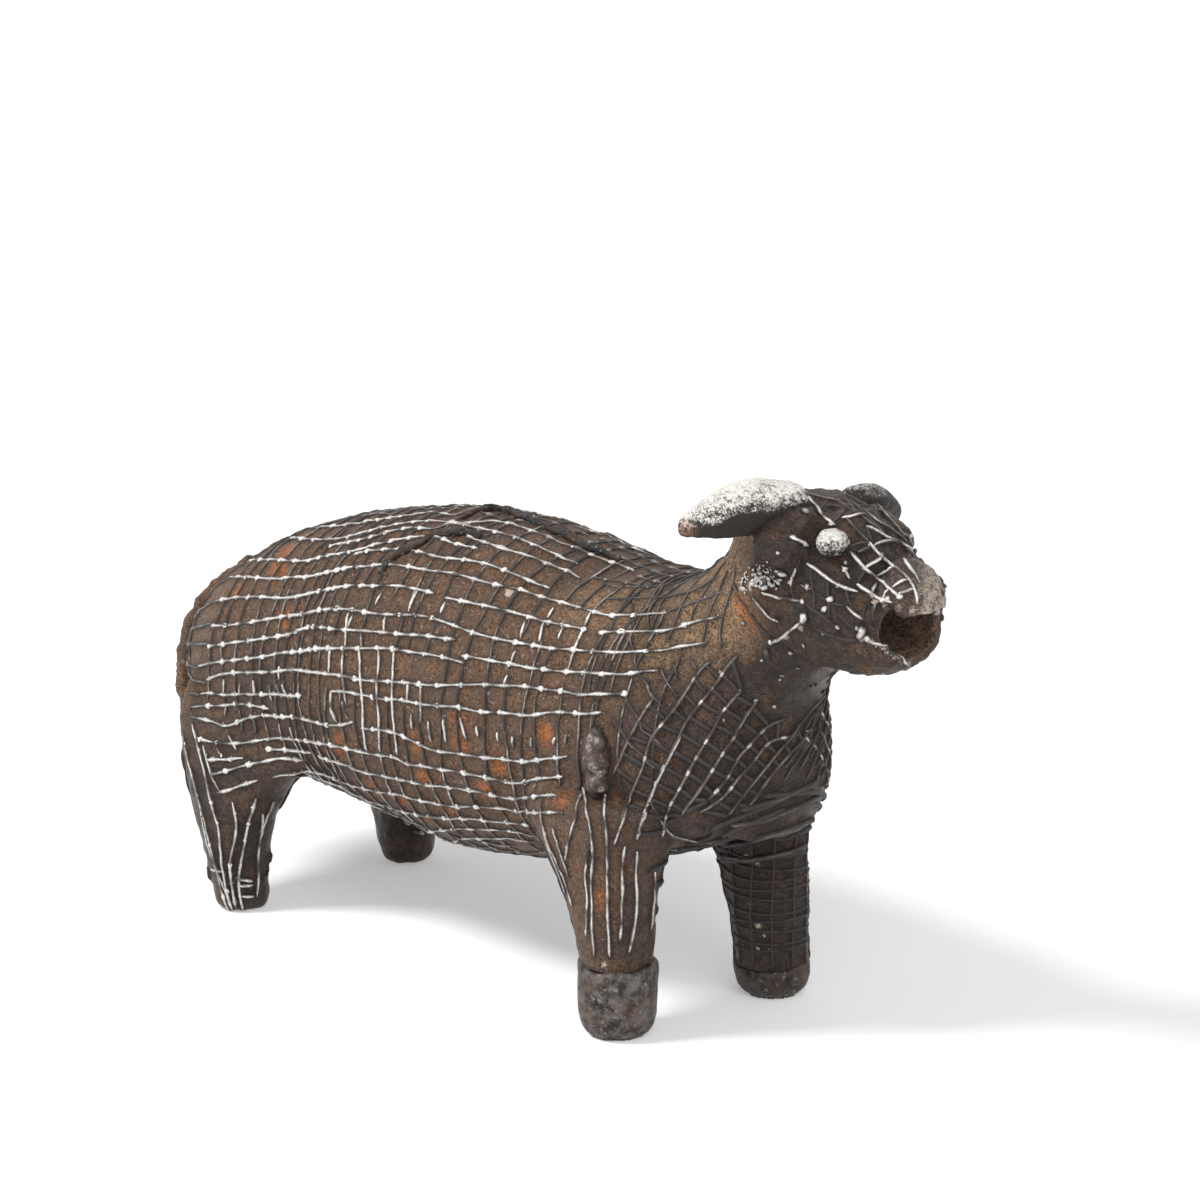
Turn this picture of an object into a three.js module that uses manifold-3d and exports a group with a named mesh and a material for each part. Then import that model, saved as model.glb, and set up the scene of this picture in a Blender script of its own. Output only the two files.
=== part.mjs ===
// A cast bronze bull, about 18 cm long, made by the lost-wax method over a clay core.
// Each solid is one piece of the founder's wax model, or part of the core it was built on.
// Millimetres. +X points to the nose, +Y to the bull's left, +Z up, with the feet on Z = 0.
import * as THREE from 'three';
import { mergeVertices } from 'three/addons/utils/BufferGeometryUtils.js';
import Module from 'manifold-3d';

const wasm = await Module();
wasm.setup();

// Thickness of the metal and of the seams
const wall = 3.4; // bronze over the clay core
const seam = 0.3; // between pieces that seat on each other
const seatFlats = 0.3; // room for the flat facets of a seat to clear a round skin
const thread = 0.7; // height of the raised net over the sheet
const skinLift = thread + seam; // from the sheet to the underside of what lies on the net

// The barrel, from the middle of the four feet
const rumpReach = 75.2;
const chestReach = 67.8;
const barrelHalfWidth = 24.4;
const withersHeight = 78.2;
const bellyHeight = 18.5;

// Where the feet stand
const foreFootForward = 47.9;
const foreFootSpread = 18.7;
const leftForeStride = 2.4; // the left forefoot stands this much further forward
const leftForeTuck = 2.7; // and this much further in
const leftForeBow = 1.1; // and its leg bows in by this much at the knee
const kneeHeight = 18.5;
const hindFootBack = 48.3;
const hindFootSpread = 19.4;
const rightHindStep = 1; // the right hind foot stands this much further out
const footRadius = 6.6;
const legRibs = 0.6; // height of the threads down a leg
const tenonRadius = 4.6; // of the forelegs inside their wax caps
const tenonReach = 4; // up into the foreleg
const rightCapHeight = 12.6;
const leftCapHeight = 5.6;

// The head
const muzzleReach = 99.4;
const muzzleTop = 86.4;
const lipHeight = 80.2; // top of the lower jaw
const jawLength = 12.4; // of the jaw piece, back from the muzzle
const crownReach = 79.5;
const crownHeight = 99.8;
const headHalfWidth = 12;
const mouthReach = [11.5, 6.5, 5.2]; // half length, half width, half height
const mouthPitch = 6;
const noseReach = [6.2, 5.8, 3.5];
const nosePitch = 54;
const browReach = [7.5, 7.6, 3.9];
const browPitch = 38;
const eyeRadius = 2.8;
const earLength = 23;
const earHalfWidth = 5.8;
const earThickness = 9.2;

const pinRadius = 1.1; // core pins
const pinDepth = 9;

const legThreads = 10; // down each leg
const neckThreads = 14;
const threadsPerSide = 20; // along the barrel
const threadsAlong = 2 * threadsPerSide + 1; // with the one under the belly

// Rows of numbers, one for each station, blended smoothly in between.
function smoothRows(rows) {
  const places = rows.map((_, i) => i);
  const between = new THREE.CubicInterpolant(places, rows.flat(), rows[0].length, []);
  return (t) => [...between.evaluate(THREE.MathUtils.clamp(t, 0, rows.length - 1))];
}

// A point of a rounded outline, from its reach out of a centre to either side, above and below.
// Fullness 2 is an oval; more fills out the corners.
function outlinePoint({ centre, across, up, reach, fullness = 2 }, angle, lift = 0) {
  const [left, right, above, below] = reach;
  const [cosine, sine] = [Math.cos(angle), Math.sin(angle)];
  const bulge = (value) => Math.sign(value) * Math.abs(value) ** (2 / fullness);
  return centre
    .clone()
    .addScaledVector(across, ((cosine > 0 ? left : right) + lift) * bulge(cosine))
    .addScaledVector(up, ((sine > 0 ? above : below) + lift) * bulge(sine));
}

// Ribbed outlines dip by the rib height at every other point.
function outline(frame, sides, ribs = 0) {
  const turn = (2 * Math.PI) / sides;
  return Array.from({ length: sides }, (_, i) => outlinePoint(frame, i * turn, i % 2 ? -ribs : 0));
}

function middle(points) {
  const sum = points.reduce((total, point) => total.add(point), new THREE.Vector3());
  return sum.divideScalar(points.length);
}

// A closed skin over a row of rings, with a fan over each end.
function loft(rings) {
  const sides = rings[0].length;
  const points = [...rings.flat(), middle(rings[0]), middle(rings[rings.length - 1])];
  const [startMiddle, endMiddle] = [points.length - 2, points.length - 1];
  const lastRing = (rings.length - 1) * sides;
  const index = [];
  for (let i = 0; i < sides; i += 1) {
    const next = (i + 1) % sides;
    for (let row = 0; row < lastRing; row += sides) {
      index.push(row + i, row + next, row + next + sides);
      index.push(row + i, row + next + sides, row + i + sides);
    }
    index.push(startMiddle, next, i, endMiddle, lastRing + i, lastRing + next);
  }
  return solid(new THREE.BufferGeometry().setFromPoints(points).setIndex(index));
}

function turnedOver(index) {
  const turned = [];
  for (let i = 0; i < index.length; i += 3) turned.push(index[i + 1], index[i], index[i + 2]);
  return turned;
}

function solid(geometry) {
  const bare = geometry.index ? geometry.toNonIndexed() : geometry.clone();
  bare.deleteAttribute('normal');
  bare.deleteAttribute('uv');
  const merged = mergeVertices(bare, 1e-4);
  const made = new wasm.Manifold(
    new wasm.Mesh({
      numProp: 3,
      vertProperties: new Float32Array(merged.attributes.position.array),
      triVerts: new Uint32Array(merged.index.array),
    }),
  );
  return made.volume() > 0 ? made : solid(merged.setIndex(turnedOver(merged.index.array)));
}

// Barrel stations: x, height of the axis, top, bottom, half width
const barrelRows = [
  [-rumpReach, 40, 41.5, 38.5, 1.2],
  [-74.4, 40, 46, 34, 6.4],
  [-71.2, 40.5, 51, 29.5, 12.2],
  [-65, 42, 57, 25, 17.4],
  [-54.5, 43.5, 63.6, 23, barrelHalfWidth - 3],
  [-42, 45.5, 69.2, 22.3, barrelHalfWidth - 0.6],
  [-21, 48, 75.6, bellyHeight + 1.4, barrelHalfWidth],
  [-3, 49, withersHeight, bellyHeight, barrelHalfWidth],
  [15, 50, withersHeight + 0.2, bellyHeight + 2.5, barrelHalfWidth],
  [30, 51, 77, bellyHeight + 6, barrelHalfWidth - 0.4],
  [45, 51.5, 77, bellyHeight + 10, barrelHalfWidth - 1.2],
  [56, 51, 73, 33, 20.6],
  [62.6, 50, 66, 37, 15.6],
  [chestReach - 1.3, 49, 58, 42, 9.5],
  [chestReach, 48.5, 50, 47, 1.4],
];
const barrelAt = smoothRows(barrelRows);

// Growing the barrel moves its ends out as well as its sides.
function barrelFrame(t, grow = 0) {
  const [x, axis, top, bottom, half] = barrelAt(t);
  return {
    centre: new THREE.Vector3(x * (1 + grow / rumpReach), 0, axis),
    across: new THREE.Vector3(0, 1, 0),
    up: new THREE.Vector3(0, 0, 1),
    reach: [half + grow, half + grow, top - axis + grow, axis - bottom + grow],
    fullness: 2.15,
  };
}

// A point on the barrel's skin: its station, and degrees round from the left flank over the back.
function skinPoint([t, degrees], lift = 0) {
  return outlinePoint(barrelFrame(t, lift), THREE.MathUtils.degToRad(degrees));
}

// Even steps over the skin from the rump to the chest, by the length of its top corner.
function evenSteps(count) {
  const samples = Array.from({ length: 281 }, (_, i) => (i / 280) * (barrelRows.length - 1));
  const corner = samples.map((t) => {
    const [x, , top, , half] = barrelAt(t);
    return new THREE.Vector3(x, half, top);
  });
  const walked = [0];
  corner.slice(1).forEach((point, i) => walked.push(walked[i] + point.distanceTo(corner[i])));
  return Array.from({ length: count }, (_, i) => {
    const goal = (i / (count - 1)) * walked[walked.length - 1];
    const at = Math.max(walked.findIndex((length) => length >= goal), 1);
    const part = (goal - walked[at - 1]) / (walked[at] - walked[at - 1]);
    return THREE.MathUtils.lerp(samples[at - 1], samples[at], part);
  });
}

function barrelSolid(grow, count, sides) {
  return loft(evenSteps(count).map((t) => outline(barrelFrame(t, grow), sides)));
}

// Stations of the hoops of the net: closest over the haunch
const hoopStations = [
  0, 1, 1.75, 2.35, 2.9, 3.45, 3.98, 4.32, 4.66, 4.99, 5.2, 5.45, 5.65, 5.85, 6.03, 6.23, 6.42, 6.73,
  6.93, 7.16, 7.39, 7.67, 7.98, 8.35, 8.67, 8.95, 9.23, 9.51, 9.79, 10.1, 10.5, 10.95, 11.5, 12.2, 13,
  14,
];
// Threads along the right side: a station, then where each thread runs there, from the back to the
// belly, in degrees round from the left flank. Towards both ends they spread out evenly.
const threadRows = [
  evenThreads(1),
  [2.8, 98, 107, 116, 125, 134, 143, 154, 166, 176, 185, 193, 201, 209, 217, 225, 232, 239, 246, 254, 262],
  [4.4, 103, 114, 125, 131, 137, 147, 160, 169, 177, 183, 191, 197, 205, 216, 226, 234, 242, 249, 256, 263],
  [6, 99, 109, 120, 127, 134, 142, 152, 159, 167, 176, 182, 187, 192, 201, 209, 218, 227, 235, 245, 257],
  [7.7, 95, 104, 112, 121, 129, 138, 149, 157, 164, 170, 177, 184, 191, 198, 206, 214, 220, 228, 237, 253],
  [9.7, 97, 106, 113, 120, 126, 134, 143, 152, 158, 164, 169, 176, 184, 193, 202, 211, 219, 227, 236, 252],
  evenThreads(12.5),
];

function evenThreads(station) {
  const step = 360 / threadsAlong;
  return [station, ...Array.from({ length: threadsPerSide }, (_, j) => 90 + (j + 0.5) * step)];
}

const threadsAt = new THREE.LinearInterpolant(
  threadRows.map(([station]) => station),
  threadRows.flatMap(([, ...turns]) => turns),
  threadsPerSide,
  [],
);

// Where all the threads run at one station: down the right side, the belly, and up the left side
function threadTurns(t) {
  const [first, last] = [threadRows[0][0], threadRows[threadRows.length - 1][0]];
  const right = [...threadsAt.evaluate(THREE.MathUtils.clamp(t, first, last - 1e-6))];
  const turns = [...right, 270, ...right.map((turn) => 540 - turn).reverse()];
  return turns.map((turn) => THREE.MathUtils.degToRad(turn));
}

// The barrel with its net: each cell dips from the threads round it to the sheet in its middle.
function nettedBarrel() {
  const points = [];
  const place = (t, angle, lift) => points.push(outlinePoint(barrelFrame(t, lift), angle)) - 1;
  const crossings = hoopStations.map((t) => threadTurns(t).map((angle) => place(t, angle, thread)));
  const index = [];
  for (let i = 0; i < hoopStations.length - 1; i += 1) {
    const t = (hoopStations[i] + hoopStations[i + 1]) / 2;
    const turns = threadTurns(t);
    turns.push(turns[0] + 2 * Math.PI);
    for (let j = 0; j < threadsAlong; j += 1) {
      const next = (j + 1) % threadsAlong;
      const dip = place(t, (turns[j] + turns[j + 1]) / 2, 0);
      const [here, ahead] = [crossings[i], crossings[i + 1]];
      const corners = [here[j], here[next], ahead[next], ahead[j]];
      corners.forEach((corner, k) => index.push(corner, corners[(k + 1) % 4], dip));
    }
  }
  const [rump, chest] = [crossings[0], crossings[crossings.length - 1]];
  const hubs = [rump, chest].map((ring) => points.push(middle(ring.map((i) => points[i]))) - 1);
  for (let j = 0; j < threadsAlong; j += 1) {
    const next = (j + 1) % threadsAlong;
    index.push(hubs[0], rump[next], rump[j], hubs[1], chest[j], chest[next]);
  }
  return solid(new THREE.BufferGeometry().setFromPoints(points).setIndex(index));
}

// Legs: for each level the height, then the reach back, forward, inward and outward.
const foreLegRows = [
  [0, 3.6, 3.6, 3.6, 3.6],
  [0.8, 5.1, 5.1, 5.1, 5.1],
  [2.6, 6.2, 6.2, 6.2, 6.2],
  [6, footRadius, footRadius, footRadius, footRadius],
  [12, footRadius, 6.4, 6.4, 6.2],
  [16, 8, 6.6, 6.7, 6.2],
  [21, 10.5, 6.7, 6.5, 5.9],
  [26, 13.8, 7.1, 6.6, 5.4],
  [31, 17.8, 7.8, 7.6, 6],
  [37, 22, 9, 11, 7.4],
  [43, 23, 10, 14, 7.6],
];
const hindLegRows = [
  [0, 3.6, 4, 4.2, 4.2],
  [0.8, 4.4, 4.6, 4.9, 4.9],
  [2.6, 5.1, 4.8, 5.2, 5.2],
  [8, 7.2, 4.8, 5.6, 5.6],
  [15, 10.4, 5.4, 6.4, 5.8],
  [21, 13.4, 8, 7.8, 5.3],
  [27, 15.8, 13, 10.5, 3.8],
  [33, 16.6, 19, 13, 1.6],
  [40, 14, 21, 13, 0],
];

function leg(rows, x, y, ribs = 0) {
  const rings = rows.map(([z, back, forward, inward, outward]) => {
    const [left, right] = y > 0 ? [outward, inward] : [inward, outward];
    const frame = {
      centre: new THREE.Vector3(x, y, z),
      across: new THREE.Vector3(0, 1, 0),
      up: new THREE.Vector3(1, 0, 0),
      reach: [left, right, forward, back],
    };
    return outline(frame, 2 * legThreads, ribs);
  });
  return loft(rings);
}

// Neck and head stations: x and z of the top, x and z of the bottom, half width
const neckRows = [
  [34, withersHeight - 14.2, 68.8, 35.4, 18.8],
  [40, withersHeight - 6.7, 72, 45, 16.8],
  [46.5, withersHeight - 1.3, 72.6, 56, 13.6],
  [53, 81.4, 75.2, 64, 11.5],
  [59, 86.4, 80.6, 69, 10.6],
  [64, 91.8, 86, 71.5, 10.4],
  [70, 95.4, 91, 74, 10],
];
const headRows = [
  [60.5, crownHeight - 11, 83, 71.5, 11.4],
  [65, crownHeight - 4.6, 86.5, 71.2, headHalfWidth],
  [72, crownHeight - 0.8, 89.5, 71, headHalfWidth],
  [crownReach, crownHeight, 92.5, 71.4, headHalfWidth - 0.2],
  [87.5, crownHeight - 2.7, 95.2, 72, 11],
  [93.5, crownHeight - 6.8, 97.2, 72.6, 9.8],
  [98, crownHeight - 10.8, 99.3, 73.4, 8.5],
  [muzzleReach, muzzleTop, muzzleReach + 0.8, 74.4, 7.4],
];
const neckAt = smoothRows(neckRows);
const headAt = smoothRows(headRows);

// The outline square across the neck or the head at one station
function throatFrame(at, t, grow = 0) {
  const [topX, topZ, lowX, lowZ, half] = at(t);
  const [top, low] = [new THREE.Vector3(topX, 0, topZ), new THREE.Vector3(lowX, 0, lowZ)];
  const rise = top.distanceTo(low) / 2 + grow;
  return {
    centre: middle([top, low]),
    across: new THREE.Vector3(0, 1, 0),
    up: top.clone().sub(low).normalize(),
    reach: [half + grow, half + grow, rise, rise],
    fullness: 2.3,
  };
}

function throat(at, stations, { grow = 0, ribs = 0 } = {}) {
  const steps = 10;
  const rings = Array.from({ length: steps + 1 }, (_, i) => {
    const frame = throatFrame(at, (i / steps) * (stations - 1), grow);
    const ahead = new THREE.Vector3(frame.up.z, 0, -frame.up.x);
    const ends = grow * (Number(i === steps) - Number(i === 0));
    frame.centre.addScaledVector(ahead, ends);
    return outline(frame, 2 * neckThreads, ribs);
  });
  return loft(rings);
}

// A point on the head's skin: its station, and degrees round from the left cheek over the top
function skinOfHead([t, degrees], lift) {
  return outlinePoint(throatFrame(headAt, t), THREE.MathUtils.degToRad(degrees), lift).toArray();
}

function ball([x, y, z], [alongX, alongY, alongZ], { pitch = 0, sides = 18 } = {}) {
  const sphere = new THREE.SphereGeometry(1, sides, sides / 2);
  sphere.scale(alongX, alongY, alongZ).rotateY(THREE.MathUtils.degToRad(pitch));
  return solid(sphere.translate(x, y, z));
}

// A rod along a curve; its radius is blended between the given ones.
function rod(points, radii, steps, sides) {
  const curve = new THREE.CatmullRomCurve3(points);
  const { normals, binormals } = curve.computeFrenetFrames(steps, false);
  const radiusAt = smoothRows(radii.map((radius) => [radius]));
  const rings = normals.map((normal, i) => {
    const [radius] = radiusAt((i / steps) * (radii.length - 1));
    const frame = {
      centre: curve.getPointAt(i / steps),
      across: normal,
      up: binormals[i],
      reach: [radius, radius, radius, radius],
    };
    return outline(frame, sides);
  });
  return loft(rings);
}

// An ear is a leaf with a rounded back and a flatter face.
// Ear stations: reach from 0 to 1 along the leaf, width and thickness as parts of the largest
const earRows = [
  [0, 0.62, 0.6],
  [0.18, 0.86, 0.85],
  [0.4, 1, 1],
  [0.62, 0.84, 0.88],
  [0.82, 0.52, 0.62],
  [0.95, 0.26, 0.36],
  [1, 0.08, 0.12],
];
const earAt = smoothRows(earRows);

function ear({ side, droop, length, thickness = earThickness, sunk = 0 }, grow = 0) {
  const along = new THREE.Vector3(-0.41, side * 0.9, droop).normalize();
  const face = new THREE.Vector3(0.55, side * 0.1, -0.83);
  face.addScaledVector(along, -face.dot(along)).normalize();
  const across = new THREE.Vector3().crossVectors(along, face);
  const rootHeight = crownHeight - 1 - sunk;
  const root = new THREE.Vector3(crownReach + 0.7, side * 0.45 * headHalfWidth, rootHeight);
  const steps = 10;
  const rings = Array.from({ length: steps + 1 }, (_, i) => {
    const [reach, width, thick] = earAt((i / steps) * (earRows.length - 1));
    const half = earHalfWidth * width + grow;
    const back = thickness * thick * 0.75 + grow;
    const front = thickness * thick * 0.25 + grow;
    const ends = grow * (Number(i === steps) - Number(i === 0));
    const centre = root.clone().addScaledVector(along, reach * length + ends);
    return outline({ centre, across, up: face, reach: [half, half, front, back] }, 14);
  });
  return loft(rings);
}

// The clay core fills the barrel; the same shape, a seam larger, is the hollow of the shell.
function hollow(inset) {
  const [first, last, count] = [1.7, 12.5, 12];
  const rings = Array.from({ length: count }, (_, i) => {
    const t = THREE.MathUtils.lerp(first, last, i / (count - 1));
    return outline(barrelFrame(t, -inset), 18);
  });
  return loft(rings);
}

// Iron pins from the skin into the core: the place on the skin, and the depth below it
const pins = {
  core_pin_right_front: { place: [8.56, 169], recess: 1.4 },
  core_pin_right_rear: { place: [5.91, 183], recess: 0.3 },
  core_pin_left_front: { place: [8.56, 11], recess: 0.3 },
  core_pin_left_rear: { place: [5.91, -3], recess: 0.3 },
  core_pin_belly: { place: [7.33, 270], recess: 0.3 },
};

// A round bar from one point to another.
function bar(from, to, radius) {
  const span = to.clone().sub(from);
  const cylinder = new THREE.CylinderGeometry(radius, radius, span.length(), 12);
  const turn = new THREE.Quaternion().setFromUnitVectors(
    new THREE.Vector3(0, 1, 0),
    span.clone().normalize(),
  );
  cylinder.applyQuaternion(turn);
  const centre = middle([from, to]);
  return solid(cylinder.translate(centre.x, centre.y, centre.z));
}

function pin({ place, recess }, { grow = 0, open = 0 } = {}) {
  const skin = skinPoint(place);
  const out = skinPoint(place, 1).sub(skin).setX(0).normalize();
  const outer = skin.clone().addScaledVector(out, open - recess);
  const inner = skin.clone().addScaledVector(out, -pinDepth - grow);
  return bar(outer, inner, pinRadius + grow);
}

// A strip of wax along places on the skin, its middle lifted off the skin.
function strip(places, lift, radii, { steps = 12, sides = 6 } = {}) {
  return rod(places.map((place) => skinPoint(place, lift)), radii, steps, sides);
}

function box(low, high, grow = 0) {
  const size = high.map((value, i) => value - low[i] + 2 * grow);
  const centre = high.map((value, i) => (value + low[i]) / 2);
  return solid(new THREE.BoxGeometry(...size).translate(...centre));
}

const group = new THREE.Group();

function add(name, manifold, [colour, roughness, metalness]) {
  const { vertProperties, triVerts } = manifold.getMesh();
  const geometry = new THREE.BufferGeometry();
  geometry.setAttribute('position', new THREE.Float32BufferAttribute([...vertProperties], 3));
  geometry.setIndex([...triVerts]);
  geometry.computeVertexNormals();
  const material = new THREE.MeshStandardMaterial({ color: colour, roughness, metalness });
  const mesh = new THREE.Mesh(geometry, material);
  mesh.name = name;
  group.add(mesh);
}
const bronze = ['#5b4636', 0.62, 0.75];
const darkBronze = ['#3a322c', 0.55, 0.75];
const wornBronze = ['#b9ab97', 0.4, 0.9];
const clay = ['#6b4c37', 0.95, 0];
const iron = ['#3b2a22', 0.9, 0.3];

// The barrel, its core and the pins that held the core in the mould
const barrelSeat = barrelSolid(skinLift + seatFlats, 23, 32);
let shell = nettedBarrel().subtract(hollow(wall));
let core = hollow(wall + seam);
for (const [name, place] of Object.entries(pins)) {
  add(name, pin(place), iron);
  const hole = pin(place, { grow: seam, open: 4 });
  shell = shell.subtract(hole);
  core = core.subtract(hole);
}
add('body_shell', shell, bronze);
add('clay_core', core, clay);

// The head with its brow, and the mouth and the lower jaw cut out of it
const mouth = ball([muzzleReach + 1.9, 0, lipHeight + 0.5], mouthReach, { pitch: mouthPitch });
const brow = ball([crownReach + 11, 0, crownHeight - 5.6], browReach, { pitch: browPitch });
const jawLow = [muzzleReach - jawLength, -20, 60];
const jawHigh = [muzzleReach + 15, 20, lipHeight];
const wholeHead = throat(headAt, headRows.length).add(brow);
let head = wholeHead.subtract(box(jawLow, jawHigh, seam)).subtract(mouth);
let neck = throat(neckAt, neckRows.length, { ribs: thread }).subtract(barrelSeat);
neck = neck.subtract(throat(headAt, headRows.length, { grow: seam }));

// The pieces set into the head
const nosePad = (grow) => {
  const centre = [muzzleReach + 1.8, 0, muzzleTop + 0.9];
  return ball(centre, noseReach.map((reach) => reach + grow), { pitch: nosePitch });
};
const eyeBall = (place, grow) => {
  const centre = skinOfHead(place, 0.8);
  const reach = eyeRadius + grow;
  return ball(centre, [reach, reach, reach], { sides: 12 });
};
const ears = {
  right_ear: { side: -1, droop: -0.1, length: earLength },
  left_ear: { side: 1, droop: -0.5, length: earLength - 2.5, thickness: 7.6, sunk: 2 },
};
const eyes = { right_eye: [4.17, 131], left_eye: [4.17, 50] };
head = head.subtract(nosePad(seam));
for (const [name, shape] of Object.entries(ears)) {
  add(name, ear(shape), wornBronze);
  head = head.subtract(ear(shape, seam));
  neck = neck.subtract(ear(shape, seam));
}
for (const [name, place] of Object.entries(eyes)) {
  add(name, eyeBall(place, 0), wornBronze);
  head = head.subtract(eyeBall(place, seam));
}
add('head', head, bronze);
add('lower_jaw', wholeHead.intersect(box(jawLow, jawHigh)).subtract(mouth), bronze);
add('nose_pad', nosePad(0), wornBronze);
add('neck', neck, bronze);

// Each foreleg ends in a tenon inside a smooth wax cap.
function addForeleg(side, rows, x, y, capHeight) {
  const tenonFoot = Math.min(4, capHeight / 2);
  const tenon = (grow) => {
    const low = new THREE.Vector3(x, y, tenonFoot - grow);
    return bar(low, new THREE.Vector3(x, y, capHeight + tenonReach), tenonRadius + grow);
  };
  const under = (height) => box([x - 30, y - 30, -1], [x + 30, y + 30, height]);
  const upper = leg(rows, x, y, legRibs).subtract(under(capHeight + seam));
  const cap = leg(rows, x, y).intersect(under(capHeight));
  add(`${side}_foreleg`, upper.subtract(barrelSeat).add(tenon(0)), bronze);
  add(`${side}_forefoot_cap`, cap.subtract(tenon(seam)), darkBronze);
}
addForeleg('right', foreLegRows, foreFootForward, -foreFootSpread, rightCapHeight);
const leftFoot = [foreFootForward + leftForeStride, foreFootSpread - leftForeTuck];
const bowedRows = foreLegRows.map(([z, back, forward, inward, outward]) => {
  const bow = leftForeBow * Math.sin(Math.PI * Math.min(z / kneeHeight / 2, 1));
  return [z, back, forward, inward + bow, outward - bow];
});
addForeleg('left', bowedRows, ...leftFoot, leftCapHeight);

const rightHind = leg(hindLegRows, -hindFootBack, -hindFootSpread - rightHindStep, legRibs);
const leftHind = leg(hindLegRows, -hindFootBack, hindFootSpread, legRibs / 2);
add('right_hind_leg', rightHind.subtract(barrelSeat), bronze);
add('left_hind_leg', leftHind.subtract(barrelSeat), darkBronze);

// Strips on the skin: places along each one, how far it is lifted, and its radii
const tail = {
  places: [[2.1, 92], [1.6, 94], [1.1, 104], [0.95, 150], [1.35, 190], [2, 212]],
  lift: skinLift + 0.6,
  radii: [1.2, 1.9, 1.8, 1.7, 1.7, 2.1],
};
const shoulderLug = {
  places: [[10.19, 172], [10.23, 181], [10.19, 194]],
  lift: skinLift + 0.6,
  radii: [1.2, 2, 2.4, 2],
};
const flankSeam = {
  places: [[6.42, 137], [6.43, 125], [6.63, 120.5], [6.83, 110], [7.26, 108.5]],
  lift: skinLift + 0.3,
  radii: [0.8, 1, 0.9, 1, 0.8],
};
const backSeam = {
  places: [[6.83, 102], [6.75, 91], [6.94, 85], [7.22, 86.5], [7.59, 91], [7.99, 91.5], [8.97, 92]],
  lift: skinLift + 0.3,
  radii: [0.8, 1, 1.1, 1, 0.8],
};
function addStrip(name, { places, lift, radii }, counts, material) {
  add(name, strip(places, lift, radii, counts).subtract(barrelSeat), material);
}
addStrip('tail', tail, { steps: 12, sides: 8 }, bronze);
addStrip('right_shoulder_lug', shoulderLug, { steps: 8, sides: 8 }, bronze);
addStrip('flank_seam', flankSeam, { steps: 12 }, darkBronze);
addStrip('back_seam', backSeam, { steps: 18 }, darkBronze);

// The frame's origin: the middle of the whole bull on the ground
const bounds = new THREE.Box3().setFromObject(group);
const { x: middleX, y: middleY } = bounds.getCenter(new THREE.Vector3());
group.children.forEach((mesh) => mesh.geometry.translate(-middleX, -middleY, -bounds.min.z));

export default group;
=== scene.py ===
"""A cast bronze bull wrapped in a net of raised threads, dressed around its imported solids.

Shapes are worked out in millimetres from the middle of the four feet, then put in the frame.
"""
import math
import random

import bmesh
import bpy
import numpy as np
from mathutils import Matrix, Vector, noise
from mathutils.bvhtree import BVHTree
from mathutils.kdtree import KDTree


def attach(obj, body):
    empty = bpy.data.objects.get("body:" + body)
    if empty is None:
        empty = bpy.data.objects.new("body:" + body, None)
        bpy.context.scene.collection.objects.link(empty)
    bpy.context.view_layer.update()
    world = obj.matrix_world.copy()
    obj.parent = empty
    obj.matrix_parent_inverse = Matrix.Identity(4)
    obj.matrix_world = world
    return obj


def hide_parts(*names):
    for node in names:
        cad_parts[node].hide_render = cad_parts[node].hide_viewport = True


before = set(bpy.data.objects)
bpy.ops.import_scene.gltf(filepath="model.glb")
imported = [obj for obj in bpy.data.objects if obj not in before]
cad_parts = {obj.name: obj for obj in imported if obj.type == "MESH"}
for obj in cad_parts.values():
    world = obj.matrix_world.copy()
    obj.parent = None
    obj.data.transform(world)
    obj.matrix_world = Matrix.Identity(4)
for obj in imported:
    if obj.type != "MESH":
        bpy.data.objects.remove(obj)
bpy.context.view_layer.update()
random.seed(6)

MM = 0.001
feet_middle = Vector((-13.971, 0.709, 0.0))  # in the frame, in millimetres

# The photographer's camera, from the middle of the feet
picture_size = 1200  # pixels each way
camera_turn = math.radians(47)  # from the bull's right side towards its nose
camera_rise = math.radians(17)
camera_distance = 2000.0
pixels_per_mm = 5.66  # at that distance
camera_right = Vector((math.cos(camera_turn), math.sin(camera_turn), 0))
camera_back = Vector((
    math.sin(camera_turn) * math.cos(camera_rise),
    -math.cos(camera_turn) * math.cos(camera_rise),
    math.sin(camera_rise),
))
camera_up = camera_back.cross(camera_right)
aim_right, aim_up = 15.9, 60.74  # where the middle of the picture looks, from the feet
camera_place = camera_right * aim_right + camera_up * aim_up + camera_back * camera_distance
focal_pixels = pixels_per_mm * camera_distance

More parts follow.
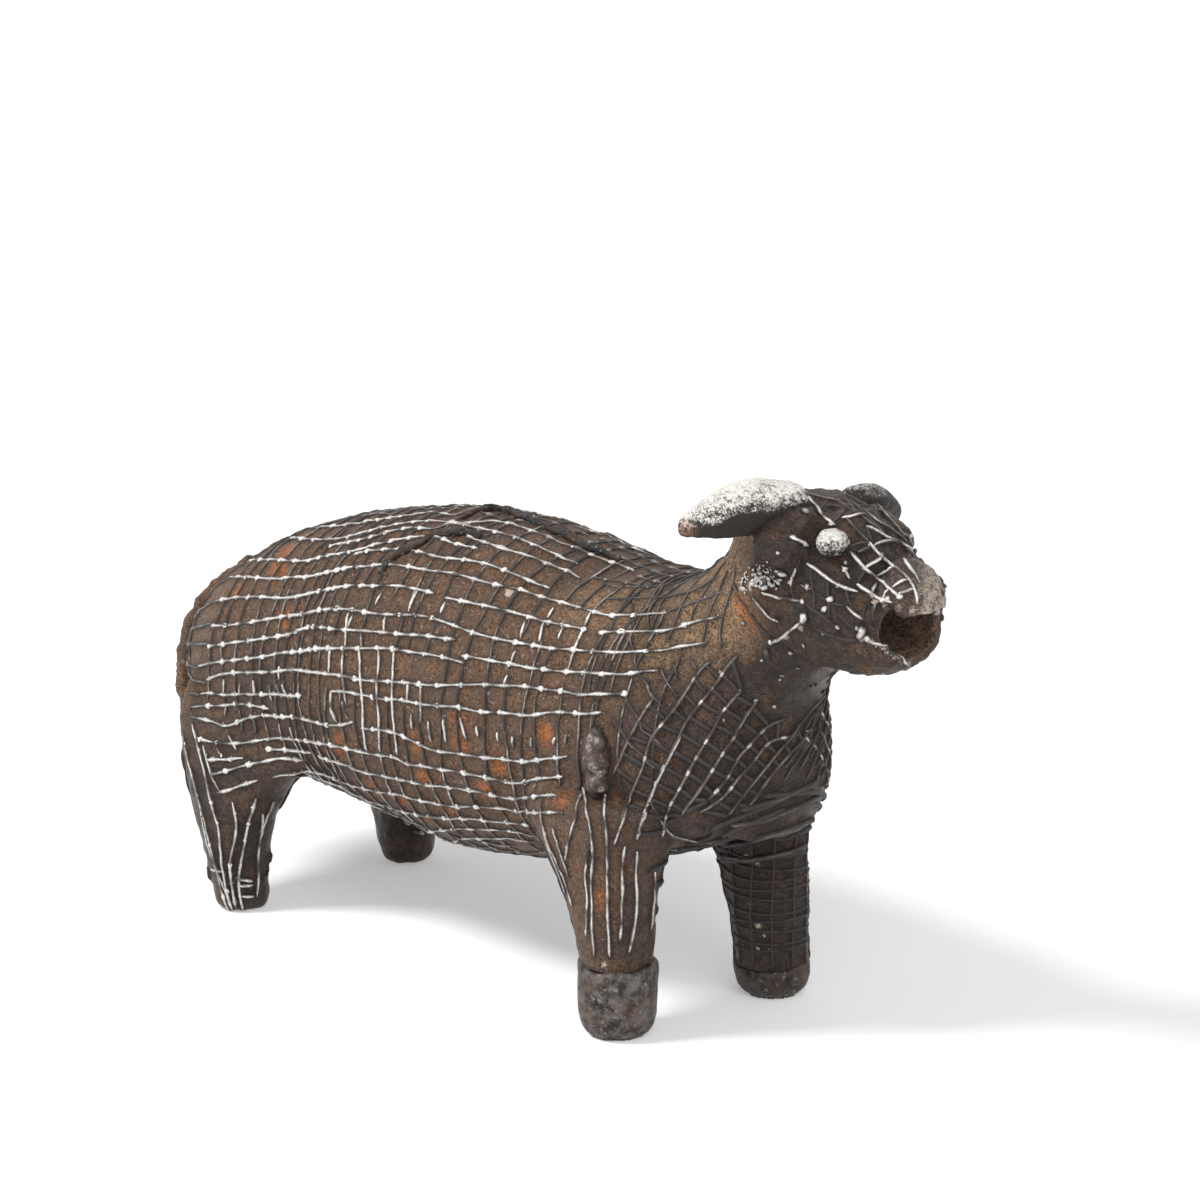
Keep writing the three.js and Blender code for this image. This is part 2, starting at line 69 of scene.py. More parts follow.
# Threads along the right flank, from the back down to the belly
flank_rows = [
    [(304, 522), (334, 515), (380, 509), (438, 504), (437, 508), (451, 504), (472, 504), (487, 505),
     (502, 504), (522, 508), (537, 510), (552, 516), (571, 522), (588, 530), (606, 536), (627, 547),
     (648, 556), (678, 564)],
    [(292, 530), (315, 529), (331, 528), (342, 527), (363, 524), (386, 520), (409, 517), (424, 514),
     (440, 514), (453, 517), (456, 517), (470, 511), (480, 508)],
    [(252, 546), (270, 541), (285, 539), (315, 541), (334, 541), (358, 536), (369, 532), (382, 529),
     (400, 525), (417, 523), (432, 522), (447, 523), (465, 525), (493, 522), (510, 525), (527, 530),
     (543, 536), (560, 544), (577, 549), (590, 556), (606, 562), (621, 566), (634, 572)],
    [(331, 547), (346, 544), (358, 542), (373, 538), (386, 534), (400, 530), (419, 529), (436, 531),
     (447, 524), (464, 526), (480, 530), (497, 533), (512, 537), (529, 544), (546, 551), (562, 559),
     (578, 565)],
    [(235, 562), (248, 563), (262, 561), (273, 560), (287, 562), (298, 562), (311, 562), (321, 558),
     (334, 556), (354, 552), (365, 550), (373, 546), (382, 544), (398, 541), (409, 539), (426, 537),
     (442, 538), (446, 543), (460, 546), (478, 549)],
    [(483, 544), (499, 547), (514, 553), (533, 558), (550, 566), (568, 572), (580, 579)],
    [(354, 556), (365, 552), (378, 551), (396, 550), (417, 551), (430, 556), (445, 559), (462, 560),
     (481, 563), (497, 568), (512, 574), (533, 583), (550, 589)],
    [(222, 578), (238, 578), (253, 578), (266, 579), (279, 580), (292, 578), (308, 578), (321, 575),
     (334, 572), (350, 568), (369, 567), (382, 565), (401, 566), (418, 569), (433, 572), (450, 573),
     (464, 576), (481, 582), (495, 585), (524, 591), (542, 598), (558, 602), (575, 607), (592, 612),
     (603, 616), (617, 616), (631, 617), (642, 616), (654, 614), (667, 613)],
    [(214, 603), (229, 599), (243, 598), (260, 597), (273, 598), (285, 599), (304, 596), (315, 593),
     (327, 590), (340, 588), (352, 586), (369, 587), (386, 586), (403, 587), (419, 590),
     (435, 594)],
    [(446, 598), (466, 602), (485, 606), (510, 612), (529, 617), (544, 622), (565, 626), (584, 630),
     (588, 631)],
    [(599, 633), (608, 633), (619, 632), (633, 633), (644, 632), (654, 632), (667, 631), (684, 626),
     (698, 621), (723, 616)],
    [(212, 626), (227, 626), (239, 624), (252, 623), (266, 620), (277, 618), (292, 616), (304, 615),
     (315, 611), (327, 610), (339, 609), (356, 610), (369, 613), (389, 615), (406, 615), (423, 616),
     (437, 619), (453, 625), (470, 632), (497, 639), (518, 643), (537, 646), (553, 649), (574, 650),
     (573, 650), (598, 652), (611, 653), (625, 653), (636, 652), (654, 652), (669, 650), (680, 646),
     (694, 645), (709, 642)],
    [(210, 646), (226, 644), (236, 642), (250, 641), (266, 638), (275, 637), (286, 636), (296, 632),
     (306, 628), (314, 626), (322, 627), (334, 629), (348, 630), (362, 631), (383, 632), (400, 634),
     (415, 635), (430, 636), (447, 639), (457, 640)],
    [(199, 666), (211, 663), (224, 661), (236, 660), (249, 658), (264, 657), (277, 654), (286, 652),
     (295, 652), (304, 651), (312, 649), (320, 648), (331, 648), (345, 648), (359, 648), (380, 648),
     (396, 649), (410, 652), (426, 654), (446, 657), (465, 663)],
    [(462, 656), (468, 656), (492, 661), (512, 664), (531, 668), (547, 670), (568, 672), (568, 672),
     (585, 673), (594, 673), (605, 674), (627, 675), (648, 671), (658, 671)],
    [(207, 680), (220, 674), (237, 672), (251, 672), (266, 672), (280, 671), (294, 669), (307, 671),
     (317, 672), (331, 674), (344, 675), (361, 680), (378, 681), (393, 681), (392, 682), (408, 682),
     (422, 685), (441, 685), (462, 685), (484, 684), (504, 686), (526, 686), (541, 689), (564, 691),
     (580, 695), (592, 694), (610, 694), (629, 693)],
    [(201, 694), (210, 692), (226, 695), (241, 693), (255, 694), (271, 694), (283, 693), (294, 697),
     (302, 695)],
    [(331, 691), (344, 691), (361, 694), (378, 698), (393, 700), (392, 698), (408, 701), (422, 704),
     (439, 706), (459, 706), (480, 712), (500, 712), (518, 714), (531, 716), (544, 713), (559, 711),
     (571, 713), (592, 714), (602, 712)],
    [(191, 707), (204, 706), (220, 706), (237, 703), (250, 704), (270, 708)],
    [(192, 717), (206, 719), (216, 722), (227, 728), (237, 723), (248, 717), (262, 714), (277, 716),
     (294, 716), (308, 719), (323, 724), (336, 725), (348, 724), (354, 721)],
    [(361, 728), (378, 729), (396, 732), (413, 740), (433, 750), (448, 752), (467, 754), (483, 757),
     (501, 758), (516, 761), (532, 761), (545, 758), (557, 758), (568, 756)],
    [(199, 739), (214, 743), (233, 744), (248, 743), (262, 740), (279, 737), (292, 738), (308, 740),
     (319, 742), (329, 743), (346, 748), (361, 750), (369, 754), (382, 754), (400, 757), (404, 764),
     (417, 764), (437, 768), (454, 770), (473, 774), (488, 777), (503, 780), (519, 784), (532, 780),
     (546, 778), (563, 776)],
    [(206, 760), (218, 760), (227, 760), (244, 758)],
    [(270, 749), (277, 750), (287, 749), (312, 752)],
    [(212, 775), (228, 771), (246, 765), (264, 762), (277, 758), (292, 758), (308, 759)],
    [(319, 755), (331, 760), (346, 763), (354, 768), (366, 772), (378, 774), (393, 777), (407, 780),
     (425, 784), (444, 786), (463, 788), (480, 791), (497, 795), (509, 798), (520, 798), (532, 797),
     (544, 795), (557, 796)],
    [(217, 793), (226, 792), (242, 785), (258, 780)],
    [(273, 777), (285, 773), (300, 771), (315, 770), (329, 775), (342, 780), (350, 784), (361, 786),
     (373, 790), (388, 792), (400, 793), (417, 799), (434, 802), (457, 806), (476, 805), (490, 807),
     (503, 807), (515, 810), (524, 812), (534, 812), (545, 812), (557, 812), (564, 812)],
    [(296, 776), (312, 775), (323, 778), (338, 783), (354, 792), (371, 800), (384, 804), (392, 806),
     (400, 810), (417, 813), (434, 816), (450, 818), (463, 817), (476, 818), (488, 820), (501, 821),
     (517, 822), (530, 824)],
    [(361, 796), (377, 805), (390, 811), (400, 814), (400, 822), (415, 827), (432, 829), (448, 829),
     (457, 827), (471, 828), (484, 828), (500, 829), (515, 830), (534, 835)],
    [(412, 831), (429, 836), (444, 838), (459, 837), (476, 837), (496, 837), (515, 837),
     (534, 841)],
]
# Short loose ends between them
flank_dashes = [
    [(412, 714), (413, 728)],
    [(421, 716), (421, 723)],
    [(429, 721), (432, 741)],
    [(444, 719), (447, 742)],
    [(461, 717), (464, 728), (467, 738)],
    [(477, 726), (479, 736)],
    [(498, 732), (499, 741)],
    [(513, 736), (514, 746)],
    [(532, 737), (532, 746)],
    [(556, 737), (554, 744)],
    [(567, 734), (566, 743)],
    [(225, 679), (225, 695)],
    [(241, 683), (241, 695)],
    [(254, 680), (256, 695)],
    [(270, 684), (273, 701)],
    [(277, 684), (278, 691), (283, 697)],
    [(283, 684), (285, 692), (290, 698)],
    [(280, 666), (280, 679)],
    [(331, 707), (333, 712), (338, 722)],
    [(343, 701), (344, 710), (349, 718)],
    [(332, 691), (331, 699), (333, 708)],
]
# Stretches of the hoops that are rubbed bright
bright_uprights = [
    [(331, 648), (330, 663), (330, 674)],
    [(345, 648), (343, 664), (344, 678), (346, 693), (347, 703)],
    [(360, 648), (361, 663), (361, 680), (363, 694), (364, 710), (364, 728), (365, 739),
     (368, 751)],
    [(380, 648), (380, 664), (378, 681), (378, 698), (380, 714), (380, 729), (381, 751)],
    [(395, 649), (394, 666), (394, 681), (393, 700), (394, 714), (396, 732), (398, 754)],
    [(386, 617), (385, 632)],
    [(362, 632), (363, 648)],
    [(349, 613), (347, 622), (348, 630), (346, 648)],
    [(354, 615), (349, 627)],
    [(418, 591), (413, 601), (409, 612)],
    [(446, 602), (441, 613)],
    [(382, 594), (376, 605)],
    [(422, 684), (422, 705), (422, 722)],
    [(409, 682), (408, 702)],
    [(525, 622), (521, 639)],
    [(544, 623), (540, 642)],
    [(565, 626), (559, 639)],
    [(554, 608), (548, 618)],
    [(592, 612), (584, 630), (577, 645), (571, 662), (569, 672)],
    [(516, 651), (512, 662)],
    [(508, 675), (505, 685)],
    [(446, 604), (441, 614)],
]
# Hoops over the shoulder
shoulder_threads = [
    [(690, 572), (675, 573), (660, 576), (648, 580), (638, 586), (627, 600), (617, 617), (606, 640),
     (598, 655), (592, 673), (589, 692)],
    [(704, 567), (690, 572), (672, 578), (660, 586), (653, 597), (642, 616), (634, 631), (625, 648),
     (616, 673), (611, 692)],
    [(710, 565), (696, 573), (684, 581), (672, 590), (662, 603), (655, 620), (650, 638)],
    [(718, 563), (712, 569), (700, 579), (690, 591), (682, 606), (676, 622), (670, 640)],
    [(726, 562), (716, 576), (708, 589), (700, 601), (693, 613), (690, 628)],
    [(731, 565), (724, 581), (718, 595), (710, 613), (704, 632), (705, 648)],
    [(735, 572), (732, 590), (725, 612), (720, 630), (722, 648)],
    [(646, 682), (648, 690), (653, 697), (655, 700)],
    [(661, 669), (665, 680), (672, 690), (678, 697)],
    [(674, 665), (677, 673), (678, 679)],
    [(692, 660), (695, 666), (698, 670)],
    [(628, 699), (629, 708)],
]
# Threads of the flank carried on along the neck
neck_lines = [
    [(604, 584), (614, 588), (628, 589), (640, 588), (654, 587), (668, 586), (682, 583), (697, 579),
     (710, 572)],
    [(602, 599), (618, 600), (630, 600), (642, 598), (655, 598), (668, 597), (680, 595), (694, 591),
     (706, 585), (717, 578)],
    [(667, 613), (680, 608), (694, 603), (706, 599), (722, 592)],
    [(654, 576), (668, 573), (682, 569), (700, 565), (716, 562)],
]
# Threads down the chest
chest_threads = [
    [(654, 698), (646, 710), (640, 720), (634, 730), (628, 742), (624, 752), (619, 764),
     (613, 776)],
    [(712, 661), (703, 666), (698, 675), (691, 685), (683, 697), (672, 713), (664, 722), (656, 731),
     (651, 738), (648, 748), (646, 758), (643, 768), (636, 785), (630, 797), (626, 808),
     (622, 820)],
    [(738, 655), (728, 666), (722, 675), (716, 686), (706, 697), (697, 708), (690, 718), (682, 728),
     (679, 738), (672, 750), (668, 760), (662, 768), (658, 780), (652, 792), (648, 802), (645, 812),
     (641, 822), (638, 835)],
    [(742, 690), (732, 700), (722, 712), (716, 725), (711, 735), (704, 745), (698, 756), (691, 768),
     (686, 777), (681, 786), (676, 795), (670, 806), (664, 820), (661, 838)],
    [(757, 700), (750, 710), (742, 722), (737, 732), (732, 742), (725, 750), (720, 757), (716, 765),
     (710, 775), (705, 782), (698, 793), (690, 803), (682, 815)],
    [(785, 718), (772, 722), (762, 730), (757, 736), (750, 745), (742, 752), (737, 758), (733, 768),
     (728, 778), (718, 790), (708, 800)],
    [(790, 735), (780, 738), (771, 738), (764, 746), (756, 757), (750, 767), (743, 772), (735, 782),
     (728, 792), (716, 803), (700, 812)],
    [(800, 722), (795, 730), (789, 740), (780, 749), (773, 757), (765, 768), (757, 778), (747, 790),
     (740, 800), (728, 815)],
    [(807, 732), (800, 742), (793, 750), (785, 757), (780, 764), (772, 773), (765, 782), (757, 795),
     (748, 806)],
]
# Fine ones at the front of the chest and up the throat
throat_lines = [
    [(838, 683), (828, 692), (818, 700), (806, 715), (800, 724)],
    [(834, 690), (822, 702), (812, 715), (804, 730)],
    [(822, 708), (814, 722), (808, 740), (800, 756), (794, 764)],
    [(822, 720), (815, 738), (806, 757), (800, 768)],
    [(823, 735), (817, 750), (812, 766), (806, 778)],
    [(824, 752), (820, 766), (816, 780)],
    [(812, 738), (804, 750), (796, 762), (788, 772), (783, 782)],
    [(826, 697), (817, 712), (810, 728), (801, 745), (792, 757), (784, 768)],
]
# Threads down the right foreleg
foreleg_threads = [
    [(583, 787), (586, 802), (589, 814), (593, 839), (594, 858), (592, 881), (593, 906), (593, 929),
     (595, 956)],
    [(604, 787), (605, 806), (607, 829), (608, 852), (608, 881), (608, 910), (609, 933),
     (610, 956)],
    [(581, 795), (579, 810), (573, 829), (569, 843), (566, 860)],
    [(554, 828), (559, 844), (564, 860), (570, 877)],
    [(542, 802), (542, 818), (546, 835), (553, 858), (563, 879), (566, 894)],
    [(546, 831), (551, 848), (561, 869), (568, 887), (573, 906)],
    [(588, 848), (588, 856), (586, 873), (588, 894), (588, 913), (587, 936)],
    [(628, 808), (624, 820), (618, 833), (615, 844)],
    [(625, 846), (623, 858), (622, 873), (623, 885), (622, 906), (622, 923), (620, 940)],
    [(637, 851), (636, 864), (635, 877), (637, 892), (636, 912), (634, 927), (632, 936),
     (629, 952)],
    [(654, 869), (654, 883), (653, 898), (652, 913), (650, 929)],
    [(681, 736), (670, 756), (658, 780), (648, 804), (639, 825), (637, 839)],
]
# and the right hind leg
hind_leg_threads = [
    [(184, 736), (189, 760), (195, 782), (202, 809), (205, 828), (210, 849), (216, 867), (226, 890),
     (233, 909)],
    [(193, 725), (199, 746), (205, 769), (211, 798), (216, 817), (220, 828), (221, 844), (222, 861),
     (226, 886), (231, 907)],
    [(199, 798), (204, 813), (208, 832), (213, 853), (219, 874), (223, 893), (229, 909)],
    [(233, 802), (236, 813), (237, 828), (233, 848), (230, 861), (231, 878), (233, 893),
     (237, 911)],
    [(256, 798), (252, 811), (248, 823), (244, 844), (240, 863), (238, 882), (240, 897),
     (244, 913)],
    [(273, 801), (266, 817), (260, 834), (258, 848), (257, 863), (258, 882), (256, 897)],
    [(204, 746), (208, 761), (214, 780), (221, 792)],
    [(217, 747), (222, 756)],
    [(229, 735), (233, 740), (237, 750)],
    [(262, 813), (263, 824), (260, 832)],
]
# Threads on the face
face_threads = [  # how bright each one is, and its line
    (0.9, [(790, 536), (800, 541), (808, 546)]),
    (0.9, [(807, 563), (815, 568), (823, 574), (829, 580), (838, 585), (846, 588), (858, 592)]),
    (1.0, [(851, 551), (858, 561), (864, 568), (872, 575), (880, 580), (888, 585), (893, 590),
           (900, 597)]),
    (1.0, [(843, 567), (847, 574), (850, 579)]),
    (1.0, [(857, 584), (865, 590), (872, 595), (880, 600), (888, 600), (893, 602)]),
    (0.8, [(869, 542), (876, 552), (882, 557), (888, 562), (896, 568), (902, 574), (908, 579),
           (914, 588), (917, 596), (917, 604)]),
    (0.5, [(903, 560), (908, 567), (914, 574), (919, 583)]),
    (1.0, [(762, 592), (775, 596), (790, 599), (805, 602)]),
    (0.8, [(753, 597), (760, 606), (767, 614), (773, 620), (779, 622)]),
    (0.4, [(739, 596), (749, 609), (756, 623), (764, 631), (772, 637)]),
    (1.0, [(770, 643), (778, 641), (785, 634), (793, 628), (800, 624), (806, 618)]),
    (0.9, [(792, 587), (790, 580), (794, 572), (795, 568)]),
    (0.7, [(802, 585), (808, 588), (813, 589)]),
    (0.8, [(846, 606), (852, 613), (858, 618), (863, 619)]),
    (0.6, [(736, 566), (735, 579), (738, 592)]),
    (0.9, [(862, 636), (874, 641), (882, 647), (890, 653), (900, 660), (908, 665), (915, 667)]),
    (0.7, [(875, 604), (872, 612), (873, 620)]),
    (0.5, [(864, 568), (870, 563), (877, 561), (882, 557)]),
    (0.3, [(866, 569), (861, 575), (858, 583)]),
    (0.7, [(876, 576), (884, 573), (890, 569), (895, 567)]),
    (0.5, [(893, 588), (899, 583), (907, 580)]),
    (0.9, [(898, 595), (905, 592), (913, 588)]),
    (0.4, [(876, 584), (872, 593)]),
    (0.4, [(889, 589), (884, 596), (882, 600)]),
    (0.3, [(848, 549), (856, 544), (864, 541), (870, 543)]),
    (0.5, [(858, 552), (865, 549), (872, 546)]),
    (0.8, [(808, 497), (814, 504), (818, 511), (824, 518), (830, 523), (836, 525)]),
    (0.2, [(828, 500), (824, 507), (819, 512)]),
    (0.3, [(824, 507), (834, 506), (846, 507), (856, 514)]),
    (0.8, [(842, 518), (850, 518), (858, 515), (867, 514)]),
    (0.4, [(787, 487), (798, 492), (808, 495), (820, 498), (832, 500), (844, 502), (852, 508),
           (860, 516), (868, 521), (876, 528), (884, 535)]),
    (0.3, [(832, 523), (842, 519), (846, 511)]),
    (0.4, [(846, 517), (852, 526), (858, 532), (864, 537), (869, 542)]),
    (0.7, [(866, 527), (874, 530), (880, 534), (888, 538), (896, 541), (904, 546), (913, 553)]),
    (0.5, [(863, 510), (869, 514), (874, 520), (882, 524), (890, 529), (898, 534), (906, 541)]),
    (0.5, [(876, 505), (884, 513), (890, 521), (898, 529), (906, 537), (913, 546)]),
    (0.6, [(874, 546), (882, 542), (890, 540), (898, 543)]),
    (0.3, [(872, 542), (868, 534), (866, 528)]),
    (0.3, [(845, 500), (856, 506), (866, 516), (874, 524), (882, 530)]),
    (0.3, [(820, 596), (832, 604), (846, 606)]),
    (0.3, [(800, 560), (794, 572), (792, 590), (796, 606)]),
    (0.3, [(829, 580), (827, 592), (831, 604), (829, 618)]),
    (0.2, [(812, 566), (811, 580), (815, 596), (815, 612)]),
    (0.3, [(846, 590), (849, 602), (854, 612)]),
    (0.3, [(866, 603), (864, 612), (862, 620)]),
    (0.2, [(838, 612), (846, 622), (856, 630)]),
    (0.2, [(815, 628), (828, 634), (842, 640), (858, 640)]),
    (0.2, [(806, 604), (818, 612), (834, 624), (840, 634)]),
]
# Folds where sheets of wax overlap on the far shoulder
shoulder_folds = [
    [(679, 847), (715, 847), (752, 842), (786, 838), (818, 822)],
    [(706, 831), (743, 815), (775, 801), (800, 790), (816, 781)],
    [(697, 840), (729, 831), (763, 817), (784, 808)],
    [(718, 860), (752, 860), (786, 855), (808, 848)],
]
# Knobs and beads on the head: pixel, size and how bright
face_beads = [
    (805, 512, 1.5, 0.7), (779, 508, 1.9, 0.6), (782, 573, 1.4, 1), (831, 599, 1.3, 1),
    (825, 610, 1.3, 1), (838, 585, 1.0, 1), (846, 563, 0.8, 0.9), (845, 570, 1.0, 1),
    (889, 599, 1.3, 1), (838, 627, 0.9, 0.7), (824, 633, 0.9, 0.7), (791, 652, 1.0, 0.7),
    (804, 645, 0.9, 0.6), (808, 587, 1.2, 0.8), (870, 545, 0.7, 0.9), (882, 556, 1.0, 0.5),
    (748, 533, 0.7, 0.8), (778, 553, 0.7, 0.9), (805, 619, 2.0, 1), (803, 602, 1.1, 1),
    (793, 537, 0.9, 1), (804, 544, 0.9, 1), (832, 524, 1.0, 0.9), (818, 509, 0.8, 0.9),
    (791, 582, 1.1, 0.9), (864, 568, 1.0, 1), (762, 660, 0.6, 0.7), (798, 668, 0.5, 0.7),
    (780, 679, 0.7, 0.6), (744, 623, 0.8, 0.6), (862, 633, 1.8, 0.8), (868, 638, 1.4, 0.8),
    (857, 628, 1.0, 0.6), (900, 597, 1.2, 1), (872, 595, 1.1, 1), (767, 652, 1.2, 0.3),
    (882, 600, 1.2, 1), (771, 642, 1.1, 1), (684, 625, 1.1, 1), (706, 598, 0.6, 0.8),
    (719, 616, 0.7, 0.8), (740, 690, 0.6, 0.6), (756, 700, 0.8, 0.7), (774, 706, 0.8, 0.7),
    (782, 675, 0.8, 0.5), (747, 714, 0.7, 0.6), (721, 672, 0.8, 0.6), (713, 690, 0.7, 0.6),
    (714, 712, 0.6, 0.6), (816, 685, 0.6, 0.5), (797, 668, 0.5, 0.6), (724, 720, 0.7, 0.5),
]
# A crust of bright lumps on the cheek: pixel and size
cheek_crust = [
    (745, 588, 1.3), (751, 585, 1.6), (757, 581, 1.5), (763, 578, 1.3), (768, 584, 1.6),
    (775, 584, 1.5), (759, 574, 1.1), (766, 573, 1.0), (772, 577, 1.2), (748, 579, 1.0),
    (754, 572, 0.9), (762, 567, 0.8), (747, 570, 0.7), (770, 568, 0.7), (742, 582, 0.9),
]
# Short threads round the right hind foot
foot_dashes = [
    [(236, 878), (244, 879), (252, 881)], [(237, 885), (245, 886), (252, 885)],
    [(241, 896), (248, 897), (254, 896)], [(212, 869), (217, 870), (223, 871)],
]
# Folds across the breast, between the forelegs
breast_folds = [
    [(715, 855), (750, 860), (790, 852), (814, 840)],
    [(712, 840), (750, 840), (785, 830), (817, 817)],
    [(730, 825), (765, 820), (800, 805), (820, 795)],
    [(740, 810), (775, 800), (810, 785)],
]
# Hoops of the net: where each one crosses the row of threads along the middle of the flank
hoop_pixels = [
    (211, 663), (224, 661), (236, 660), (250, 658), (264, 656), (277, 654), (286, 652), (295, 652),
    (304, 650), (312, 649), (320, 648), (331, 648), (345, 648), (359, 648), (380, 648), (395, 649),
    (411, 651), (426, 653), (446, 657), (468, 656), (492, 661), (512, 664), (531, 668), (547, 670),
    (568, 672), (586, 673), (604, 674),
]


def pixel_ray(x, y):
    """The way from the camera through a pixel of the photograph."""
    half = picture_size / 2
    way = -camera_back * focal_pixels + camera_right * (x - half) - camera_up * (y - half)
    return way.normalized()


# ---- The wax sheet under the threads ----
# Barrel stations: x, height of the axis, top, bottom, half width
barrel_rows = [
    (-75.2, 40, 41.5, 38.5, 1.2), (-74.4, 40, 46, 34, 6.4), (-71.2, 40.5, 51, 29.5, 12.2),
    (-65, 42, 57, 25, 17.4), (-54.5, 43.5, 63.6, 23, 21.4), (-42, 45.5, 69.2, 22.3, 23.8),
    (-21, 48, 75.6, 19.9, 24.4), (-3, 49, 78.2, 18.5, 24.4), (15, 50, 78.4, 21, 24.4),
    (30, 51, 77, 24.5, 24), (45, 51.5, 77, 28.5, 23.2), (56, 51, 73, 33, 20.6),
    (62.6, 50, 66, 37, 15.6), (66.5, 49, 58, 42, 9.5), (67.8, 48.5, 50, 47, 1.4),
]
# Leg stations: height, then the reach back, forward, inward and outward
foreleg_rows = [
    (0, 3.6, 3.6, 3.6, 3.6), (0.8, 5.1, 5.1, 5.1, 5.1), (2.6, 6.2, 6.2, 6.2, 6.2),
    (6, 6.6, 6.6, 6.6, 6.6), (12, 6.6, 6.4, 6.4, 6.2), (16, 8, 6.6, 6.7, 6.2),
    (21, 10.5, 6.7, 6.5, 5.9), (26, 13.8, 7.1, 6.6, 5.4), (31, 17.8, 7.8, 7.6, 6),
    (37, 22, 9, 11, 7.4), (43, 23, 10, 14, 7.6),
]
hind_leg_rows = [
    (0, 3.6, 4, 4.2, 4.2), (0.8, 4.4, 4.6, 4.9, 4.9), (2.6, 5.1, 4.8, 5.2, 5.2),
    (8, 7.2, 4.8, 5.6, 5.6), (15, 10.4, 5.4, 6.4, 5.8), (21, 13.4, 8, 7.8, 5.3),
    (27, 15.8, 13, 10.5, 3.8), (33, 16.6, 19, 13, 1.6), (40, 14, 21, 13, 0.01),
]
left_fore_bow, bow_height = 1.1, 37  # how far the left foreleg bows in, up to which height
bowed_rows = [
    (z, back, forward, inward + bow, outward - bow)
    for z, back, forward, inward, outward in foreleg_rows
    for bow in [left_fore_bow * math.sin(math.pi * min(z / bow_height, 1))]
]
# Neck and head stations: x and z of the top, x and z of the bottom, half width
neck_rows = [
    (34, 64, 68.8, 35.4, 18.8), (40, 71.5, 72, 45, 16.8), (46.5, 76.9, 72.6, 56, 13.6),
    (53, 81.4, 75.2, 64, 11.5), (59, 86.4, 80.6, 69, 10.6), (64, 91.8, 86, 71.5, 10.4),
    (70, 95.4, 91, 74, 10),
]
head_rows = [
    (60.5, 88.8, 83, 71.5, 11.4), (65, 95.2, 86.5, 71.2, 12), (72, 99, 89.5, 71, 12),
    (79.5, 99.8, 92.5, 71.4, 11.8), (87.5, 97.1, 95.2, 72, 11), (93.5, 93, 97.2, 72.6, 9.8),
    (98, 89, 99.3, 73.4, 8.5), (99.4, 86.4, 100.2, 74.4, 7.4),
]
legs = {  # rows, x and y of the foot
    "right_foreleg": (foreleg_rows, 47.9, -18.7),
    "left_foreleg": (bowed_rows, 50.3, 16.0),
    "right_hind_leg": (hind_leg_rows, -48.5, -20.4),
    "left_hind_leg": (hind_leg_rows, -48.3, 19.4),
}
wall = 3.4  # bronze over the clay core
seam = 0.3  # between a leg and its cap
barrel_fullness, throat_fullness = 2.15, 2.3  # 2 makes an ellipse, more a boxier section


def smooth_rows(rows, count):
    """Count rows of numbers, blended smoothly between the given ones."""
    rows = np.array(rows, float)
    last = len(rows) - 1
    places = np.linspace(0, last, count)
    at = np.clip(places.astype(int), 0, last - 1)
    part = (places - at)[:, None]
    before, here = rows[np.maximum(at - 1, 0)], rows[at]
    ahead, beyond = rows[at + 1], rows[np.minimum(at + 2, last)]
    return here + 0.5 * part * (
        ahead - before
        + part * (2 * before - 5 * here + 4 * ahead - beyond)
        + part**2 * (3 * (here - ahead) + beyond - before)
    )


def bulge(value, fullness):
    """A sine or cosine drawn out towards the corners of the section."""
    return np.sign(value) * np.abs(value) ** (2 / fullness)


def ring(centre, across, up, reach, fullness=2.0, sides=72):
    """Points round a centre; reach is to the left, to the right, above and below."""
    left, right, above, below = reach
    angle = np.linspace(0, 2 * math.pi, sides, endpoint=False)
    cosine, sine = np.cos(angle), np.sin(angle)
    wide = np.where(cosine > 0, left, right) * bulge(cosine, fullness)
    tall = np.where(sine > 0, above, below) * bulge(sine, fullness)
    return np.array(centre) + np.outer(wide, across) + np.outer(tall, up)


def loft(rings):
    """Points and faces of a closed skin over a row of rings."""
    sides = len(rings[0])
    points = np.vstack([*rings, rings[0].mean(0), rings[-1].mean(0)])
    faces = []
    for i in range(sides):
        ahead = (i + 1) % sides
        for row in range(0, (len(rings) - 1) * sides, sides):
            faces.append((row + i, row + ahead, row + sides + ahead, row + sides + i))
        last = (len(rings) - 1) * sides
        faces.append((len(points) - 2, ahead, i))
        faces.append((len(points) - 1, last + i, last + ahead))
    return points, faces


def placed(name, data):
    """A new object in the scene."""
    thing = bpy.data.objects.new(name, data)
    bpy.context.scene.collection.objects.link(thing)
    return thing


def made(name, points, faces):
    """A mesh object of these points and faces, facing outwards."""
    mesh = bpy.data.meshes.new(name)
    mesh.from_pydata([tuple(point) for point in points], [], faces)
    mesh.update()
    tool = bmesh.new()
    tool.from_mesh(mesh)
    bmesh.ops.recalc_face_normals(tool, faces=tool.faces)
    if tool.calc_volume(signed=True) < 0:
        bmesh.ops.reverse_faces(tool, faces=tool.faces)
    tool.to_mesh(mesh)
    tool.free()
    return placed(name, mesh)


def joined(name, parts):
    """One mesh object of several closed skins."""
    points, faces, start = [], [], 0
    for part_points, part_faces in parts:
        points.append(part_points)
        faces += [tuple(corner + start for corner in face) for face in part_faces]
        start += len(part_points)
    return made(name, np.vstack(points), faces)


def settled(thing):
    """The object with its modifiers worked in."""
    bpy.context.view_layer.update()
    shape = bpy.data.meshes.new_from_object(
        thing.evaluated_get(bpy.context.evaluated_depsgraph_get())
    )
    thing.modifiers.clear()
    thing.data = shape
    return thing


def remeshed(thing, size):
    """Its skin made anew of even faces of about that size."""
    change = thing.modifiers.new("even faces", "REMESH")
    change.mode = "VOXEL"
    change.voxel_size = size
    return settled(thing)


